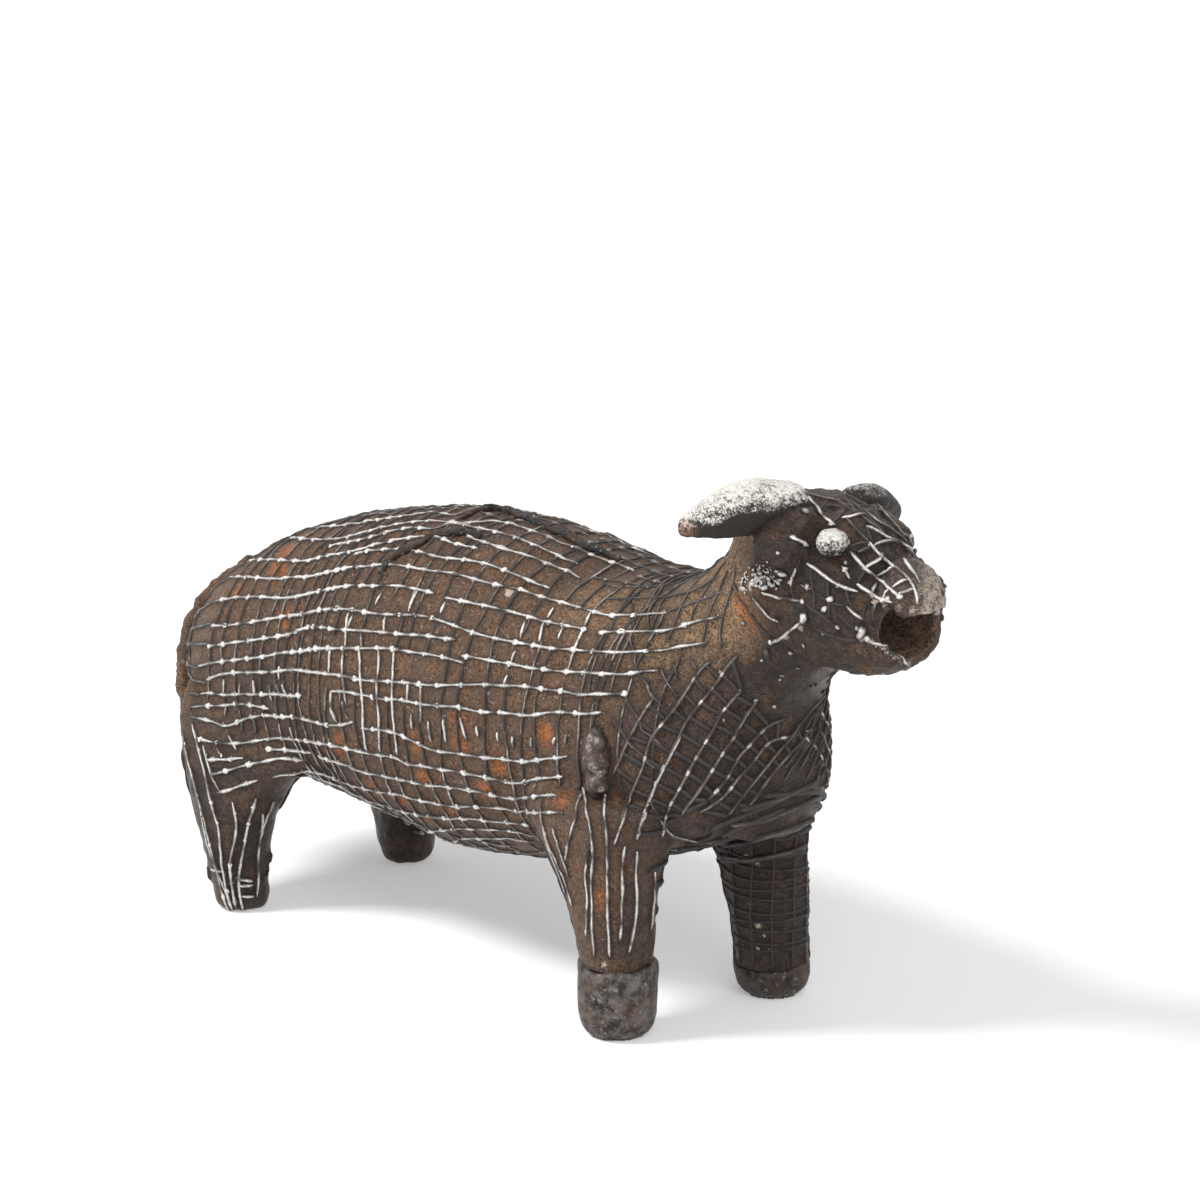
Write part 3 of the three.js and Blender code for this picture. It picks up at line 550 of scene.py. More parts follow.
def cut(thing, tool, how="DIFFERENCE"):
    """The tool taken out of the thing, or all but the tool with INTERSECT."""
    change = thing.modifiers.new("cut", "BOOLEAN")
    change.operation = how
    change.solver = "MANIFOLD"
    change.object = tool
    return settled(thing)


def removed(*things):
    """Takes objects out of the scene; they are only tools."""
    for thing in things:
        bpy.data.objects.remove(thing)


def taken_from(thing, tool, name):
    """The part of a skin inside the tool, as a piece of its own, cut out of the skin."""
    piece = placed(name, thing.data.copy())
    cut(piece, tool, "INTERSECT")
    cut(thing, tool)
    removed(tool)
    return piece


def triples(items, field):
    """The three numbers that each item keeps in a field."""
    flat = np.empty(len(items) * 3, np.float32)
    items.foreach_get(field, flat)
    return flat.reshape(-1, 3).astype(float)


def points_of(mesh):
    return triples(mesh.vertices, "co")


def normals_of(mesh):
    return triples(mesh.vertex_normals, "vector")


def set_points(mesh, points):
    mesh.vertices.foreach_set("co", np.asarray(points, np.float32).ravel())
    mesh.update()


def unit(ways):
    """Each row of an array brought to length one."""
    return ways / np.linalg.norm(ways, axis=1)[:, None]


def smooth(thing, times):
    """Each point drawn halfway to the middle of its neighbours, several times over."""
    mesh = thing.data
    ends = np.empty(len(mesh.edges) * 2, np.int64)
    mesh.edges.foreach_get("vertices", ends)
    a, b = ends.reshape(-1, 2).T
    here, there = np.concatenate([a, b]), np.concatenate([b, a])
    points = points_of(mesh)
    count = np.bincount(here)[:, None]
    for _ in range(times):
        total = np.stack([np.bincount(here, points[there, k]) for k in range(3)], axis=1)
        points = 0.5 * points + 0.5 * total / count
    set_points(mesh, points)


def keep_value(mesh, name, values):
    """A number for each point, which the materials read by its name."""
    layer = mesh.attributes.new(name, "FLOAT", "POINT")
    layer.data.foreach_set("value", np.asarray(values, np.float32))


def lumps(points, size, seed=0):
    """Soft noise between -1 and 1, with lumps of about that size."""
    offset = Vector((seed * 17.3, seed * 5.1, seed * 11.7))
    return np.array([noise.noise(Vector(point) / size + offset) for point in points])


def roughened(thing, layers, seed=0):
    """The skin moved in and out by layers of lumps: their size and height."""
    points = points_of(thing.data)
    waves = [lumps(points, size, seed + i) for i, (size, _) in enumerate(layers)]
    height = sum(tall * wave for wave, (_, tall) in zip(waves, layers))
    set_points(thing.data, points + normals_of(thing.data) * height[:, None])
    keep_value(thing.data, "high", 0.5 + 0.5 * height / np.abs(height).max() + 0.5 * waves[-1])
    return thing


steps_per_row = 20  # fine stations from one row of the barrel to the next
last_barrel_row, barrel_reach = len(barrel_rows) - 1, -barrel_rows[0][0]
stations = smooth_rows(barrel_rows, steps_per_row * last_barrel_row + 1)


def barrel_rings(count, grow=0.0, first=0.0, last=last_barrel_row):
    """Rings round the barrel, from one of its rows to another."""
    picks = np.rint(np.linspace(first, last, count) * steps_per_row).astype(int)
    return [
        ring((x * (1 + grow / barrel_reach), 0, axis), (0, 1, 0), (0, 0, 1),
             (half + grow, half + grow, top - axis + grow, axis - low + grow), barrel_fullness)
        for x, axis, top, low, half in stations[picks]
    ]


def leg_sides(row, y):
    """How far a leg reaches to the left, to the right, forward and back at one height."""
    _, back, forward, inward, outward = row
    return (outward, inward, forward, back) if y > 0 else (inward, outward, forward, back)


def leg_rings(rows, x, y, grow=0.0, count=50):
    """Rings up a leg that stands at x and y."""
    return [
        ring((x, y, row[0]), (0, 1, 0), (1, 0, 0), [side + grow for side in leg_sides(row, y)])
        for row in smooth_rows(rows, count)
    ]


def throat_rings(rows, grow=0.0, count=60):
    """Rings along the neck or the head."""
    rings = []
    for top_x, top_z, low_x, low_z, half in smooth_rows(rows, count):
        top, low = np.array([top_x, 0, top_z]), np.array([low_x, 0, low_z])
        rise = np.linalg.norm(top - low)
        reach = (half + grow, half + grow, rise / 2 + grow, rise / 2 + grow)
        up = (top - low) / rise
        rings.append(ring((top + low) / 2, (0, 1, 0), up, reach, throat_fullness))
    return rings


# How large the even faces of each skin are
body_grid, head_grid, mouth_grid, small_grid, strip_grid = 0.56, 0.45, 0.42, 0.4, 0.3


def make_body_skin():
    """The barrel, the legs and the neck melted into one skin."""
    parts = [loft(barrel_rings(120)), loft(throat_rings(neck_rows))]
    parts += [loft(leg_rings(*leg)) for leg in legs.values()]
    skin = remeshed(joined("skin", parts), body_grid)
    smooth(skin, 16)
    return roughened(skin, [(16, 0.5), (5, 0.3), (1.8, 0.19)])


def ball(centre, reach, pitch=0.0, rounds=5):
    """Points and faces of an oval ball, its length tipped by so many degrees of pitch."""
    tool = bmesh.new()
    bmesh.ops.create_icosphere(tool, subdivisions=rounds, radius=1)
    turn = Matrix.Rotation(math.radians(pitch), 4, "Y")
    sized = Matrix.LocRotScale(None, None, Vector(reach))
    move = Matrix.Translation(centre) @ turn @ sized
    bmesh.ops.transform(tool, matrix=move, verts=tool.verts)
    points = np.array([vertex.co for vertex in tool.verts])
    faces = [tuple(vertex.index for vertex in face.verts) for face in tool.faces]
    tool.free()
    return points, faces


# Balls: middle, reach along, across and up, and pitch
mouth_place, mouth_reach, mouth_pitch = (101.3, 0, 80.7), (11.5, 6.5, 5.2), 6
nose_place, nose_reach, nose_pitch = (101.2, 0, 87.3), (6.2, 5.8, 3.5), 54
brow = ball((90.5, 0, 94.2), (7.5, 7.6, 3.9), 38)
ear_roots = ball((80, -9.5, 94), (6, 6, 7.5)), ball((80, 8.5, 91), (5, 5.5, 6))


def make_head_skin():
    """The head with its brow, nose and mouth in one skin."""
    nose_ball = ball(nose_place, nose_reach, nose_pitch)
    parts = [loft(throat_rings(head_rows)), nose_ball, brow, *ear_roots]
    skin = remeshed(joined("head skin", parts), head_grid)
    smooth(skin, 8)
    hollow = made("mouth", *ball(mouth_place, mouth_reach, mouth_pitch))
    cut(skin, hollow)
    removed(hollow)
    remeshed(skin, mouth_grid)
    smooth(skin, 3)
    return roughened(skin, [(6, 0.45), (2.4, 0.5), (1.1, 0.3)], seed=3)


body_skin = make_body_skin()
head_skin = make_head_skin()


def tree_of(*things):
    """One tree of faces to cast rays at."""
    points, faces = [], []
    for thing in things:
        start = len(points)
        points += [vertex.co.copy() for vertex in thing.data.vertices]
        for face in thing.data.polygons:
            faces.append([corner + start for corner in face.vertices])
    return BVHTree.FromPolygons(points, faces)


body_tree, whole_tree = tree_of(body_skin), tree_of(body_skin, head_skin)


# ---- Threads of wax laid on the sheet ----
thread_sides = 7
thread_step = 0.8  # between the points of a laid thread
unevenness, end_taper, standing = 0.26, 0.55, 0.25  # of a thread's radius
widest_step = 2.4  # where the skin leaps further than this, the thread is broken
furthest_off = 4  # a path further off the skin than this isn't laid
knot_reach = 1.1  # how far a thread swells on each side of a knot
bead_reach, large_bead = 1.5, 1.3  # to its thread's radius; larger ones get finer faces


def soft_line(points, times):
    """A line with each inner point drawn towards its neighbours, several times over."""
    points = np.array(points, float)
    for _ in range(times):
        points[1:-1] = 0.25 * points[:-2] + 0.5 * points[1:-1] + 0.25 * points[2:]
    return points


def even_path(path, step):
    """The same line with points at even steps."""
    path = np.array(path, float)
    length = np.concatenate([[0], np.cumsum(np.linalg.norm(np.diff(path, axis=0), axis=1))])
    if length[-1] < 1.5 * step:
        return path
    goal = np.linspace(0, length[-1], int(length[-1] / step) + 2)
    return np.stack([np.interp(goal, length, column) for column in path.T], axis=1)


small_bead, big_bead = ball((0, 0, 0), (1, 1, 1), rounds=2), ball((0, 0, 0), (1, 1, 1), rounds=3)


class Threads:
    """Threads and beads of one kind, gathered into one mesh that also keeps their shine."""

    def __init__(self, name, tree, radius):
        self.name, self.tree, self.radius = name, tree, radius
        self.points, self.faces, self.shine = [], [], []
        self.lines = []

    def lay(self, path, shine=1.0, thick=1.0, knots=None):
        """A thread along a path near the skin, laid onto it; it swells where x meets a knot."""
        if len(path) < 2:
            return
        places, outs = [], []
        for point in even_path(path, thread_step):
            spot, out, _, distance = self.tree.find_nearest(Vector(point))
            spot = np.array(spot)
            if places and np.linalg.norm(spot - places[-1]) > widest_step:
                self.put(places, outs, shine, thick, knots)
                places, outs = [], []
            if distance < furthest_off:
                places.append(spot)
                outs.append(np.array(out))
        self.put(places, outs, shine, thick, knots)

    def put(self, places, outs, shine, thick, knots):
        """One unbroken stretch of thread; too short a stretch is left out."""
        if len(places) < 3:
            return
        places, outs = np.array(places), unit(soft_line(outs, 2))
        self.lines.append((places, outs, shine))
        self.sweep(places, outs, shine, thick, knots)

    def sweep(self, places, outs, shine, thick, knots):
        """The faces of a stretch: uneven in radius, bright only along the top, as rubbed wear and a
        painted highlight.
        """
        along = np.gradient(places, axis=0)
        along /= np.linalg.norm(along, axis=1)[:, None] + 1e-9
        across = np.cross(along, outs)
        across /= np.linalg.norm(across, axis=1)[:, None] + 1e-9
        wave = lumps(places, 1.6, 7) + 0.6 * lumps(places, 0.8, 8)
        radius = self.radius * thick * (1 + unevenness * wave)
        radius[[0, -1]] *= end_taper
        shine_here = shine * np.clip(0.85 + 1.0 * lumps(places, 2.2, 9), 0.12, 1)
        if knots is not None:
            away = np.abs(places[:, :1] - np.array(knots)[None]).min(1)
            near = np.exp(-((away / knot_reach) ** 2))
            radius = radius * (0.78 + 0.42 * near)
            shine_here = np.clip(shine_here * (0.75 + 0.5 * near), 0, 1)
        start, count = len(self.points), len(places)
        centre = places + outs * (standing * self.radius)
        for k in range(thread_sides):
            angle = 2 * math.pi * k / thread_sides + math.pi / 2
            side, rise = math.cos(angle), math.sin(angle)
            sideways, outwards = (radius * side)[:, None] * across, (radius * rise)[:, None] * outs
            self.points += list(centre + sideways + outwards)
            # shine only along the crest: rubbed wear and a painted highlight
            self.shine += list(shine_here * np.clip((rise - 0.5) / 0.4, 0, 1))
        lines = [start + k * count for k in range(thread_sides)]
        for a, b in zip(lines, lines[1:] + lines[:1]):
            self.faces += [(a + i, a + i + 1, b + i + 1, b + i) for i in range(count - 1)]
        self.faces.append(lines)
        self.faces.append([line + count - 1 for line in reversed(lines)])

    def bead(self, spot, out, size=1.0, shine=1.0, along=None):
        """A flat drop of wax, longer along the thread that it sits on."""
        reach = self.radius * bead_reach * size
        points, faces = big_bead if size > large_bead else small_bead
        out = np.array(out)
        if along is None:
            along = np.array([random.uniform(-1, 1) for _ in range(3)])
        along = along - out * out.dot(along)
        along = along / (np.linalg.norm(along) + 1e-9)
        tilt = np.stack([along, np.cross(out, along), out], axis=1)
        wobble = 1 + 0.55 * np.array([noise.noise(Vector(p * 1.6 + spot)) for p in points])
        stretch = random.uniform(1.0, 1.35)
        local = points * wobble[:, None] * np.array([reach * stretch, reach * 0.9, reach * 0.7])
        start = len(self.points)
        self.points += list(local @ tilt.T + spot + out * reach * 0.2)
        self.faces += [tuple(corner + start for corner in face) for face in faces]
        # the top of the bead bright: rubbed wear and a painted highlight
        self.shine += list(shine * np.clip(points[:, 2] * 1.2 - 0.05, 0, 1))

    def finished(self):
        thing = made(self.name, self.points, self.faces)
        keep_value(thing.data, "shine", self.shine)
        return thing


def seen_point(x, y, tree):
    """The point of the skin that shows at a pixel."""
    spot, _, _, _ = tree.ray_cast(camera_place, pixel_ray(x, y))
    return spot


def laid_path(pixels, tree):
    """A line of the photograph, put on the skin that it shows on."""
    fine = []
    for (x0, y0), (x1, y1) in zip(pixels, pixels[1:]):
        count = max(1, int(math.hypot(x1 - x0, y1 - y0) / 4))  # about four pixels a step
        fine += [(x0 + (x1 - x0) * i / count, y0 + (y1 - y0) * i / count) for i in range(count)]
    spots = [seen_point(x, y, tree) for x, y in [*fine, pixels[-1]]]
    return soft_line([tuple(spot) for spot in spots if spot is not None], 3)


def is_seen(point, slack):
    """Whether the camera sees a point of the skin."""
    point = Vector(point)
    spot, _, _, _ = whole_tree.ray_cast(camera_place, (point - camera_place).normalized())
    return spot is not None and (spot - point).length < slack


def runs(path, keep):
    """The stretches of a line whose points are kept."""
    found, now = [], []
    for point in path:
        if keep(point):
            now.append(point)
        elif now:
            found.append(now)
            now = []
    return [run for run in [*found, now] if len(run) > 2]


def hidden_runs(path, slack=0.8):
    """The stretches of a line that the camera doesn't see."""
    return runs(path, lambda point: not is_seen(point, slack))


def mirrored(path):
    """The same line on the bull's other side."""
    return np.array(path) * np.array([1, -1, 1])


# ---- The net ----
rows_net = Threads("flank_threads", body_tree, 0.39)
hoop_net = Threads("hoop_threads", body_tree, 0.33)
chest_net = Threads("neck_threads", body_tree, 0.42)
leg_net = Threads("leg_threads", body_tree, 0.42)
face_net = Threads("face_threads", whole_tree, 0.42)


def barrel_row(x):
    """The axis, top, bottom and half width of the barrel at x."""
    return [np.interp(x, stations[:, 0], stations[:, k]) for k in range(1, 5)]


def turn_round(point):
    """Degrees round the barrel from the left flank over the back."""
    axis, top, low, half = barrel_row(point[0])
    rise = top - axis if point[2] > axis else axis - low
    return math.degrees(math.atan2((point[2] - axis) / rise, point[1] / half)) % 360


def barrel_point(x, degrees, grow=0.0):
    """The point of the barrel so many degrees round from the left flank over the back."""
    axis, top, low, half = barrel_row(x)
    cosine, sine = math.cos(math.radians(degrees)), math.sin(math.radians(degrees))
    rise = top - axis if sine > 0 else axis - low
    return np.array([
        x,
        (half + grow) * bulge(cosine, barrel_fullness),
        axis + (rise + grow) * bulge(sine, barrel_fullness),
    ])


bright_paths = [laid_path(line, body_tree) for line in bright_uprights]
bright_spots = np.vstack([even_path(path, 0.5) for path in bright_paths])
bright_reach = 1.7


def beside_bright(point):
    """Whether a bright upright, or its mirrored copy, passes close by."""
    place = np.array([point[0], -abs(point[1]), point[2]])
    return np.linalg.norm(bright_spots - place, axis=1).min() < bright_reach


more_hoops = [-66.5, -70.0, 46.0, 51.5, 57.0]  # x of those that show too little to be traced
hoop_stations = sorted([seen_point(x, y, body_tree).x for x, y in hoop_pixels] + more_hoops)
haunch_x, rump_x = -52, -74.5

for line in flank_rows:
    path = laid_path(line, body_tree)
    rows_net.lay(path, knots=hoop_stations)
    if path[0][0] < haunch_x:  # carried on round the rump
        angle = turn_round(path[0])
        reach = np.linspace(path[0][0], rump_x, 15)
        rump = [barrel_point(x, angle + 0.3 * i, 0.5) for i, x in enumerate(reach)]
        rows_net.lay(rump, 0.4, 0.9)
        rows_net.lay(mirrored(rump), 0.4, 0.9)
    for run in hidden_runs(mirrored(path)):
        rows_net.lay(run, 0.9, knots=hoop_stations)

row_spots, row_gap = np.vstack([places for places, _, _ in rows_net.lines]), 2.2
for degrees in (75, 83, 90, 97, 105):  # along the back, between the rows that the photograph shows
    line = [barrel_point(x, degrees + 1.5 * math.sin(x / 8 + degrees), 0.3)
            for x in np.arange(-68, 44, 1.5)]
    for run in runs(line, lambda point: np.linalg.norm(row_spots - point, axis=1).min() > row_gap):
        rows_net.lay(run, 0.4, 0.9, knots=hoop_stations)

for degrees in range(236, 310, 9):  # under the belly
    line = [barrel_point(x, degrees + 1.5 * math.sin(x / 9), 0.3)
            for x in np.arange(-44, 46, 3.0)]
    for run in hidden_runs(line):
        rows_net.lay(run, 0.45)


hoop_reach = 1.6  # a hoop further off the skin has run into a leg or the neck


def hoop_runs(x, wander):
    """A hoop round the barrel, left out where it would run into a leg or the neck."""
    path = []
    for degrees in np.arange(0, 361, 3.0):
        turn = math.radians(degrees)
        sway = 0.6 * math.sin(2 * turn + wander) + 0.35 * math.sin(5 * turn + 2 * wander)
        point = barrel_point(x + sway, degrees, 0.2)
        spot, _, _, distance = body_tree.find_nearest(Vector(point))
        path.append(np.array(spot) if distance < hoop_reach else None)
    return runs(path, lambda spot: spot is not None)


belly_height = 40
for number, x in enumerate(hoop_stations):
    for run in hoop_runs(x, number * 1.7):
        for start in range(0, len(run) - 1, 6):  # short pieces, each one more or less rubbed
            piece = run[start:start + 7]
            middle = piece[len(piece) // 2]
            low = 0.25 if middle[2] < belly_height else 0.0
            if not beside_bright(middle):
                hoop_net.lay(piece, random.uniform(0.12, 0.6) + low, random.uniform(0.9, 1.15))
for x in (-72.5, -74.6, -76.3):  # round the rump
    for run in hoop_runs(x, x):
        hoop_net.lay(run, 0.3)
for path in bright_paths:
    hoop_net.lay(path, 1.2, 1.15)
    hoop_net.lay(mirrored(path), 1.0, 1.1)
for line in flank_dashes:
    hoop_net.lay(laid_path(line, body_tree), 1.0, 1.3)

for lines, bright, thick in ((shoulder_threads, 0.42, 0.65), (neck_lines, 0.4, 0.58),
                             (chest_threads, 0.42, 0.9), (throat_lines, 0.35, 0.6)):
    for line in lines:
        path = laid_path(line, body_tree)
        for run in [path, *hidden_runs(mirrored(path))]:
            chest_net.lay(run, bright, thick)

neck_ring_gap = 3.4
neck_rings = [np.vstack([points, points[:1]]) for points in throat_rings(neck_rows)]
last = neck_rings[0]
for points in neck_rings:  # round the back and the far side of the neck
    if np.linalg.norm(points.mean(0) - last.mean(0)) > neck_ring_gap:
        last = points
        for run in hidden_runs(points, 1.5):
            if len(run) > 5:
                chest_net.lay(run, 0.35, 0.75)


def rungs(first, second):
    """Short threads across from one line of the chest to the next."""
    first, second = even_path(first, 0.3), even_path(second, 0.3)
    for place in range(5, len(first), 11):  # one every 3.3 mm
        point = first[place]
        away = np.linalg.norm(second - point, axis=1)
        if 1.0 < away.min() < 6:
            chest_net.lay([point, second[away.argmin()]], 0.12, 1.05)
            if random.random() < 0.6:  # rubbed bright where they cross
                chest_net.lay(first[max(place - 3, 0):place + 4], 0.9, 1.05)


chest_paths = [laid_path(line, body_tree) for line in chest_threads]
for first, second in zip(chest_paths, chest_paths[1:]):
    rungs(first, second)
    rungs(mirrored(first), mirrored(second))

for line in shoulder_folds:
    path = laid_path(line, body_tree)
    chest_net.lay(path, 0.12, 1.25)
    chest_net.lay(mirrored(path), 0.12, 1.25)

for line in breast_folds:
    chest_net.lay(laid_path(line, body_tree), 0.3, 1.35)

for line in [*foreleg_threads, *hind_leg_threads]:
    path = laid_path(line, body_tree)
    leg_net.lay(path, 0.95, 0.85)
    if line in hind_leg_threads:  # rubbed knots along the threads of the hind leg
        for place, along in zip(path[2::4], np.gradient(path, axis=0)[2::4]):
            spot, out, _, _ = body_tree.find_nearest(Vector(place))
            if random.random() < 0.6:
                leg_net.bead(np.array(spot), out, random.uniform(0.6, 0.9), 1.0, along)
for line in foot_dashes:
    leg_net.lay(laid_path(line, body_tree), 0.95, 0.9)


def leg_lines(rows, x, y, low, high):
    """Threads all down a leg, between two heights."""
    levels = smooth_rows(rows, 60)
    levels = levels[(levels[:, 0] > low) & (levels[:, 0] < high)]
    lines = []
    for k in range(12):
        angle = 0.2 + 2 * math.pi * k / 12
        line = []
        for level in levels:
            left, right, forward, back = leg_sides(level, y)
            wide = left if math.cos(angle) > 0 else right
            tall = forward if math.sin(angle) > 0 else back
            point = Vector((x + tall * math.sin(angle), y + wide * math.cos(angle), level[0]))
            spot, _, _, distance = body_tree.find_nearest(point)
            if distance < 2:
                line.append(np.array(spot))
        lines.append(line)
    return lines


highest_thread = 33
lowest_thread = {
    "right_foreleg": 13.2, "left_foreleg": 6.2, "right_hind_leg": 1.5, "left_hind_leg": 16,
}
for name, (rows, x, y) in legs.items():
    for line in leg_lines(rows, x, y, lowest_thread[name], highest_thread):
        if name.startswith("left"):
            leg_net.lay(line, 0.1, 0.6)
        else:  # where the photograph doesn't show the leg
            for run in hidden_runs(line):
                leg_net.lay(run, 0.5)

lowest_ring = {"left_foreleg": 9.5, "left_hind_leg": 18}
for name, lowest in lowest_ring.items():
    rows, x, y = legs[name]
    rings = leg_rings(rows, x, y, 0.0, 120)
    for turn, z in enumerate(np.arange(9.5, 27, 1.9)):
        if z < lowest:
            continue
        level = min(rings, key=lambda points: abs(points[0][2] - z))
        level = [point + (0, 0, 0.35 * math.sin(i / 9 + 2 * turn)) for i, point in enumerate(level)]
        for start in range(0, len(level), 24):
            leg_net.lay(level[start:start + 25], 0.05, 0.65)

nose_from, brow_down_to = 868, 548  # in the photograph's pixels, across and down
for bright, line in face_threads:
    path = laid_path(line, whole_tree)
    middle_x, middle_y = np.mean(line, axis=0)
    rubbed = 1.1
    if middle_y <= brow_down_to:
        bright, rubbed = 0.95 * bright, 1.87
    elif middle_x > nose_from:
        bright = max(bright, 1.0)
    thick = 0.6 + 0.35 * bright
    face_net.lay(path, rubbed * bright**1.5, thick)
    for run in hidden_runs(mirrored(path)):
        face_net.lay(run, 0.5 * bright, thick)

crust = [
    (x + random.gauss(0, 3), y + random.gauss(0, 3), size * random.uniform(0.3, 0.75), 1.0)
    for x, y, size in cheek_crust for _ in range(6)
]
lip_pixels = [(860, 632), (874, 642), (890, 654), (900, 661), (912, 666), (924, 667)]
lip_crust = [
    (x + random.gauss(0, 1.0), y + random.gauss(0.6, 1.0), random.uniform(0.25, 0.5), 0.8)
    for x, y in even_path(lip_pixels, 2)
]
far_cheek_y = 5  # beads don't reach further round than this
small_crust, furthest_bead = 0.5, 1.2  # which ones aren't mirrored onto the far cheek
for x, y, size, shine in [*face_beads, *crust, *lip_crust]:
    spot, out, _, _ = whole_tree.ray_cast(camera_place, pixel_ray(x, y))
    if spot and spot.y < far_cheek_y:
        face_net.bead(np.array(spot), out, 0.8 * size, 0.85 * shine)
        spot, out, _, distance = whole_tree.find_nearest(Vector((spot.x, -spot.y, spot.z)))
        if size > small_crust and distance < furthest_bead:
            face_net.bead(np.array(spot), out, 0.8 * size, 0.6 * shine)

bead_net = Threads("crossing_beads", body_tree, 0.4)
for places, outs, shine in rows_net.lines:  # a bead wherever a row crosses a hoop
    for place, out, onward in zip(places, outs, places[1:]):
        for x in hoop_stations:
            if (place[0] - x) * (onward[0] - x) <= 0:
                size = random.uniform(0.8, 1.15)
                bead_net.bead(place, out, size, 1.2 * shine, onward - place)

nets = (rows_net, hoop_net, chest_net, leg_net, face_net, bead_net)
laid_places = [place for net in nets for places, _, _ in net.lines for place in places]
thread_spots = KDTree(len(laid_places))
for number, place in enumerate(laid_places):
    thread_spots.insert(Vector(place), number)
thread_spots.balance()


def from_threads(points):
    """How far each point is from the nearest thread."""
    return np.array([thread_spots.find(Vector(point))[2] for point in points])


def drawn_up(thing, rise=0.3, reach=0.8):
    """The soft sheet drawn up to the threads that lie on it, and sunk a little between them."""
    points = points_of(thing.data)
    away = from_threads(points)
    lift = rise * (np.exp(-((away / reach) ** 2)) - 0.4 * np.exp(-((away / (4 * reach)) ** 2)))
    set_points(thing.data, points + normals_of(thing.data) * lift[:, None])


drawn_up(body_skin)
drawn_up(head_skin)


# ---- Pieces, each standing for its solid ----
def block(low, high):
    """A box between two corners."""
    points = [(x, y, z) for x in (low[0], high[0]) for y in (low[1], high[1])
              for z in (low[2], high[2])]
    faces = [(0, 1, 3, 2), (4, 6, 7, 5), (0, 4, 5, 1), (2, 3, 7, 6), (0, 2, 6, 4), (1, 5, 7, 3)]
    return made("block", points, faces)


cap_heights = {"right_foreleg": 12.6, "left_foreleg": 5.6}
skin_pieces = {}  # by the name of the node that each one stands for

barrel_tool = made("barrel", *loft(barrel_rings(60, -1.2)))
for name, (rows, x, y) in legs.items():
    tool = made("leg tool", *loft(leg_rings(rows, x, y, 1.6)))
    for vertex in tool.data.vertices:  # down through the sole
        if vertex.co.z < 0.5:
            vertex.co.z = -4
    cut(tool, barrel_tool)
    piece = taken_from(body_skin, tool, name)
    if name in cap_heights:
        sole = block((x - 40, y - 40, -6), (x + 40, y + 40, cap_heights[name] + seam))
        cut(piece, sole)
        removed(sole)
    skin_pieces[name] = piece

neck_tool = made("neck tool", *loft(throat_rings(neck_rows, 1.8)))
cut(neck_tool, barrel_tool)
skin_pieces["neck"] = taken_from(body_skin, neck_tool, "neck")
hollow = made("hollow", *loft(barrel_rings(40, -wall, 1.7, 12.5)))
cut(body_skin, hollow)
removed(barrel_tool, hollow)
skin_pieces["body_shell"] = body_skin

jaw_tool = block((87, -30, 50), (125, 30, 80.2))
jaw = taken_from(head_skin, jaw_tool, "lower_jaw")
nose_tool = made("nose tool", *ball(nose_place, (6.6, 6.9, 5.0), nose_pitch))
nose = taken_from(head_skin, nose_tool, "nose_pad")
skin_pieces.update({"head": head_skin, "lower_jaw": jaw, "nose_pad": nose})


def make_cap(leg, swelling=0.055, thickness=0.3):
    """The smooth wax cap round the foot of a foreleg, its rim uneven."""
    rows, x, y = legs[leg]
    height = cap_heights[leg] + 0.5
    rings = leg_rings(rows, x, y, thickness, 90)
    rings = [points for points in rings if points[0][2] <= height - 0.2]
    centre = np.array([x, y])
    for points in rings:
        swell = 1 + swelling * max(0.0, 1 - (height - points[0][2]) / (0.5 * height))
        points[:, :2] = centre + (points[:, :2] - centre) * swell
    top = rings[-1].copy()
    turn = np.arctan2(top[:, 1] - y, top[:, 0] - x)
    uneven = 0.45 * np.sin(2 * turn + 0.6) + 0.25 * np.sin(5 * turn)
    for shrink, drop in ((0.985, 0.25), (0.93, 0.35), (0.8, 0.3), (0.4, 0.2)):  # over the rim
        inner = top.copy()
        inner[:, :2] = centre + (top[:, :2] - centre) * shrink
        inner[:, 2] = height + drop - 0.35 + uneven * min(1, shrink / 0.9)
        rings.append(inner)
    cap = remeshed(made("cap", *loft(rings)), small_grid)
    smooth(cap, 3)
    roughened(cap, [(5, 0.22), (1.6, 0.1)], seed=11)
    points = points_of(cap.data)
    points[:, 2] = np.where(points[:, 2] < 0.35, 0, points[:, 2])  # flat on the floor
    set_points(cap.data, points)
    return cap


skin_pieces["right_forefoot_cap"] = make_cap("right_foreleg")
skin_pieces["left_forefoot_cap"] = make_cap("left_foreleg", 0.01, 0.1)

ear_rows = [  # how far along, and how wide and thick there
    (0, 0.62, 0.6), (0.18, 0.86, 0.85), (0.4, 1, 1), (0.62, 0.84, 0.88), (0.82, 0.52, 0.62),
    (0.95, 0.26, 0.36), (1, 0.08, 0.12),
]


def make_ear(side, droop, length, thickness, lift):
    """A leaf with a rounded back and a flatter underside."""
    along = np.array([-0.41, side * 0.9, droop])
    along /= np.linalg.norm(along)
    face = np.array([0.55, side * 0.1, -0.83])
    face -= along * face.dot(along)
    face /= np.linalg.norm(face)
    across = np.cross(along, face)
    root, half_width = np.array([80.2, side * 5.4, 98.8 + lift]), 5.8
    rings = []
    for reach, width, thick in smooth_rows(ear_rows, 40):
        half, depth = half_width * width, thickness * thick
        sizes = (half, half, 0.25 * depth, 0.75 * depth)
        rings.append(ring(root + along * reach * length, across, face, sizes))
    ear = remeshed(made("ear", *loft(rings)), small_grid)
    smooth(ear, 5)
    return roughened(ear, [(4, 0.3), (1.4, 0.16), (0.7, 0.08)], seed=5)


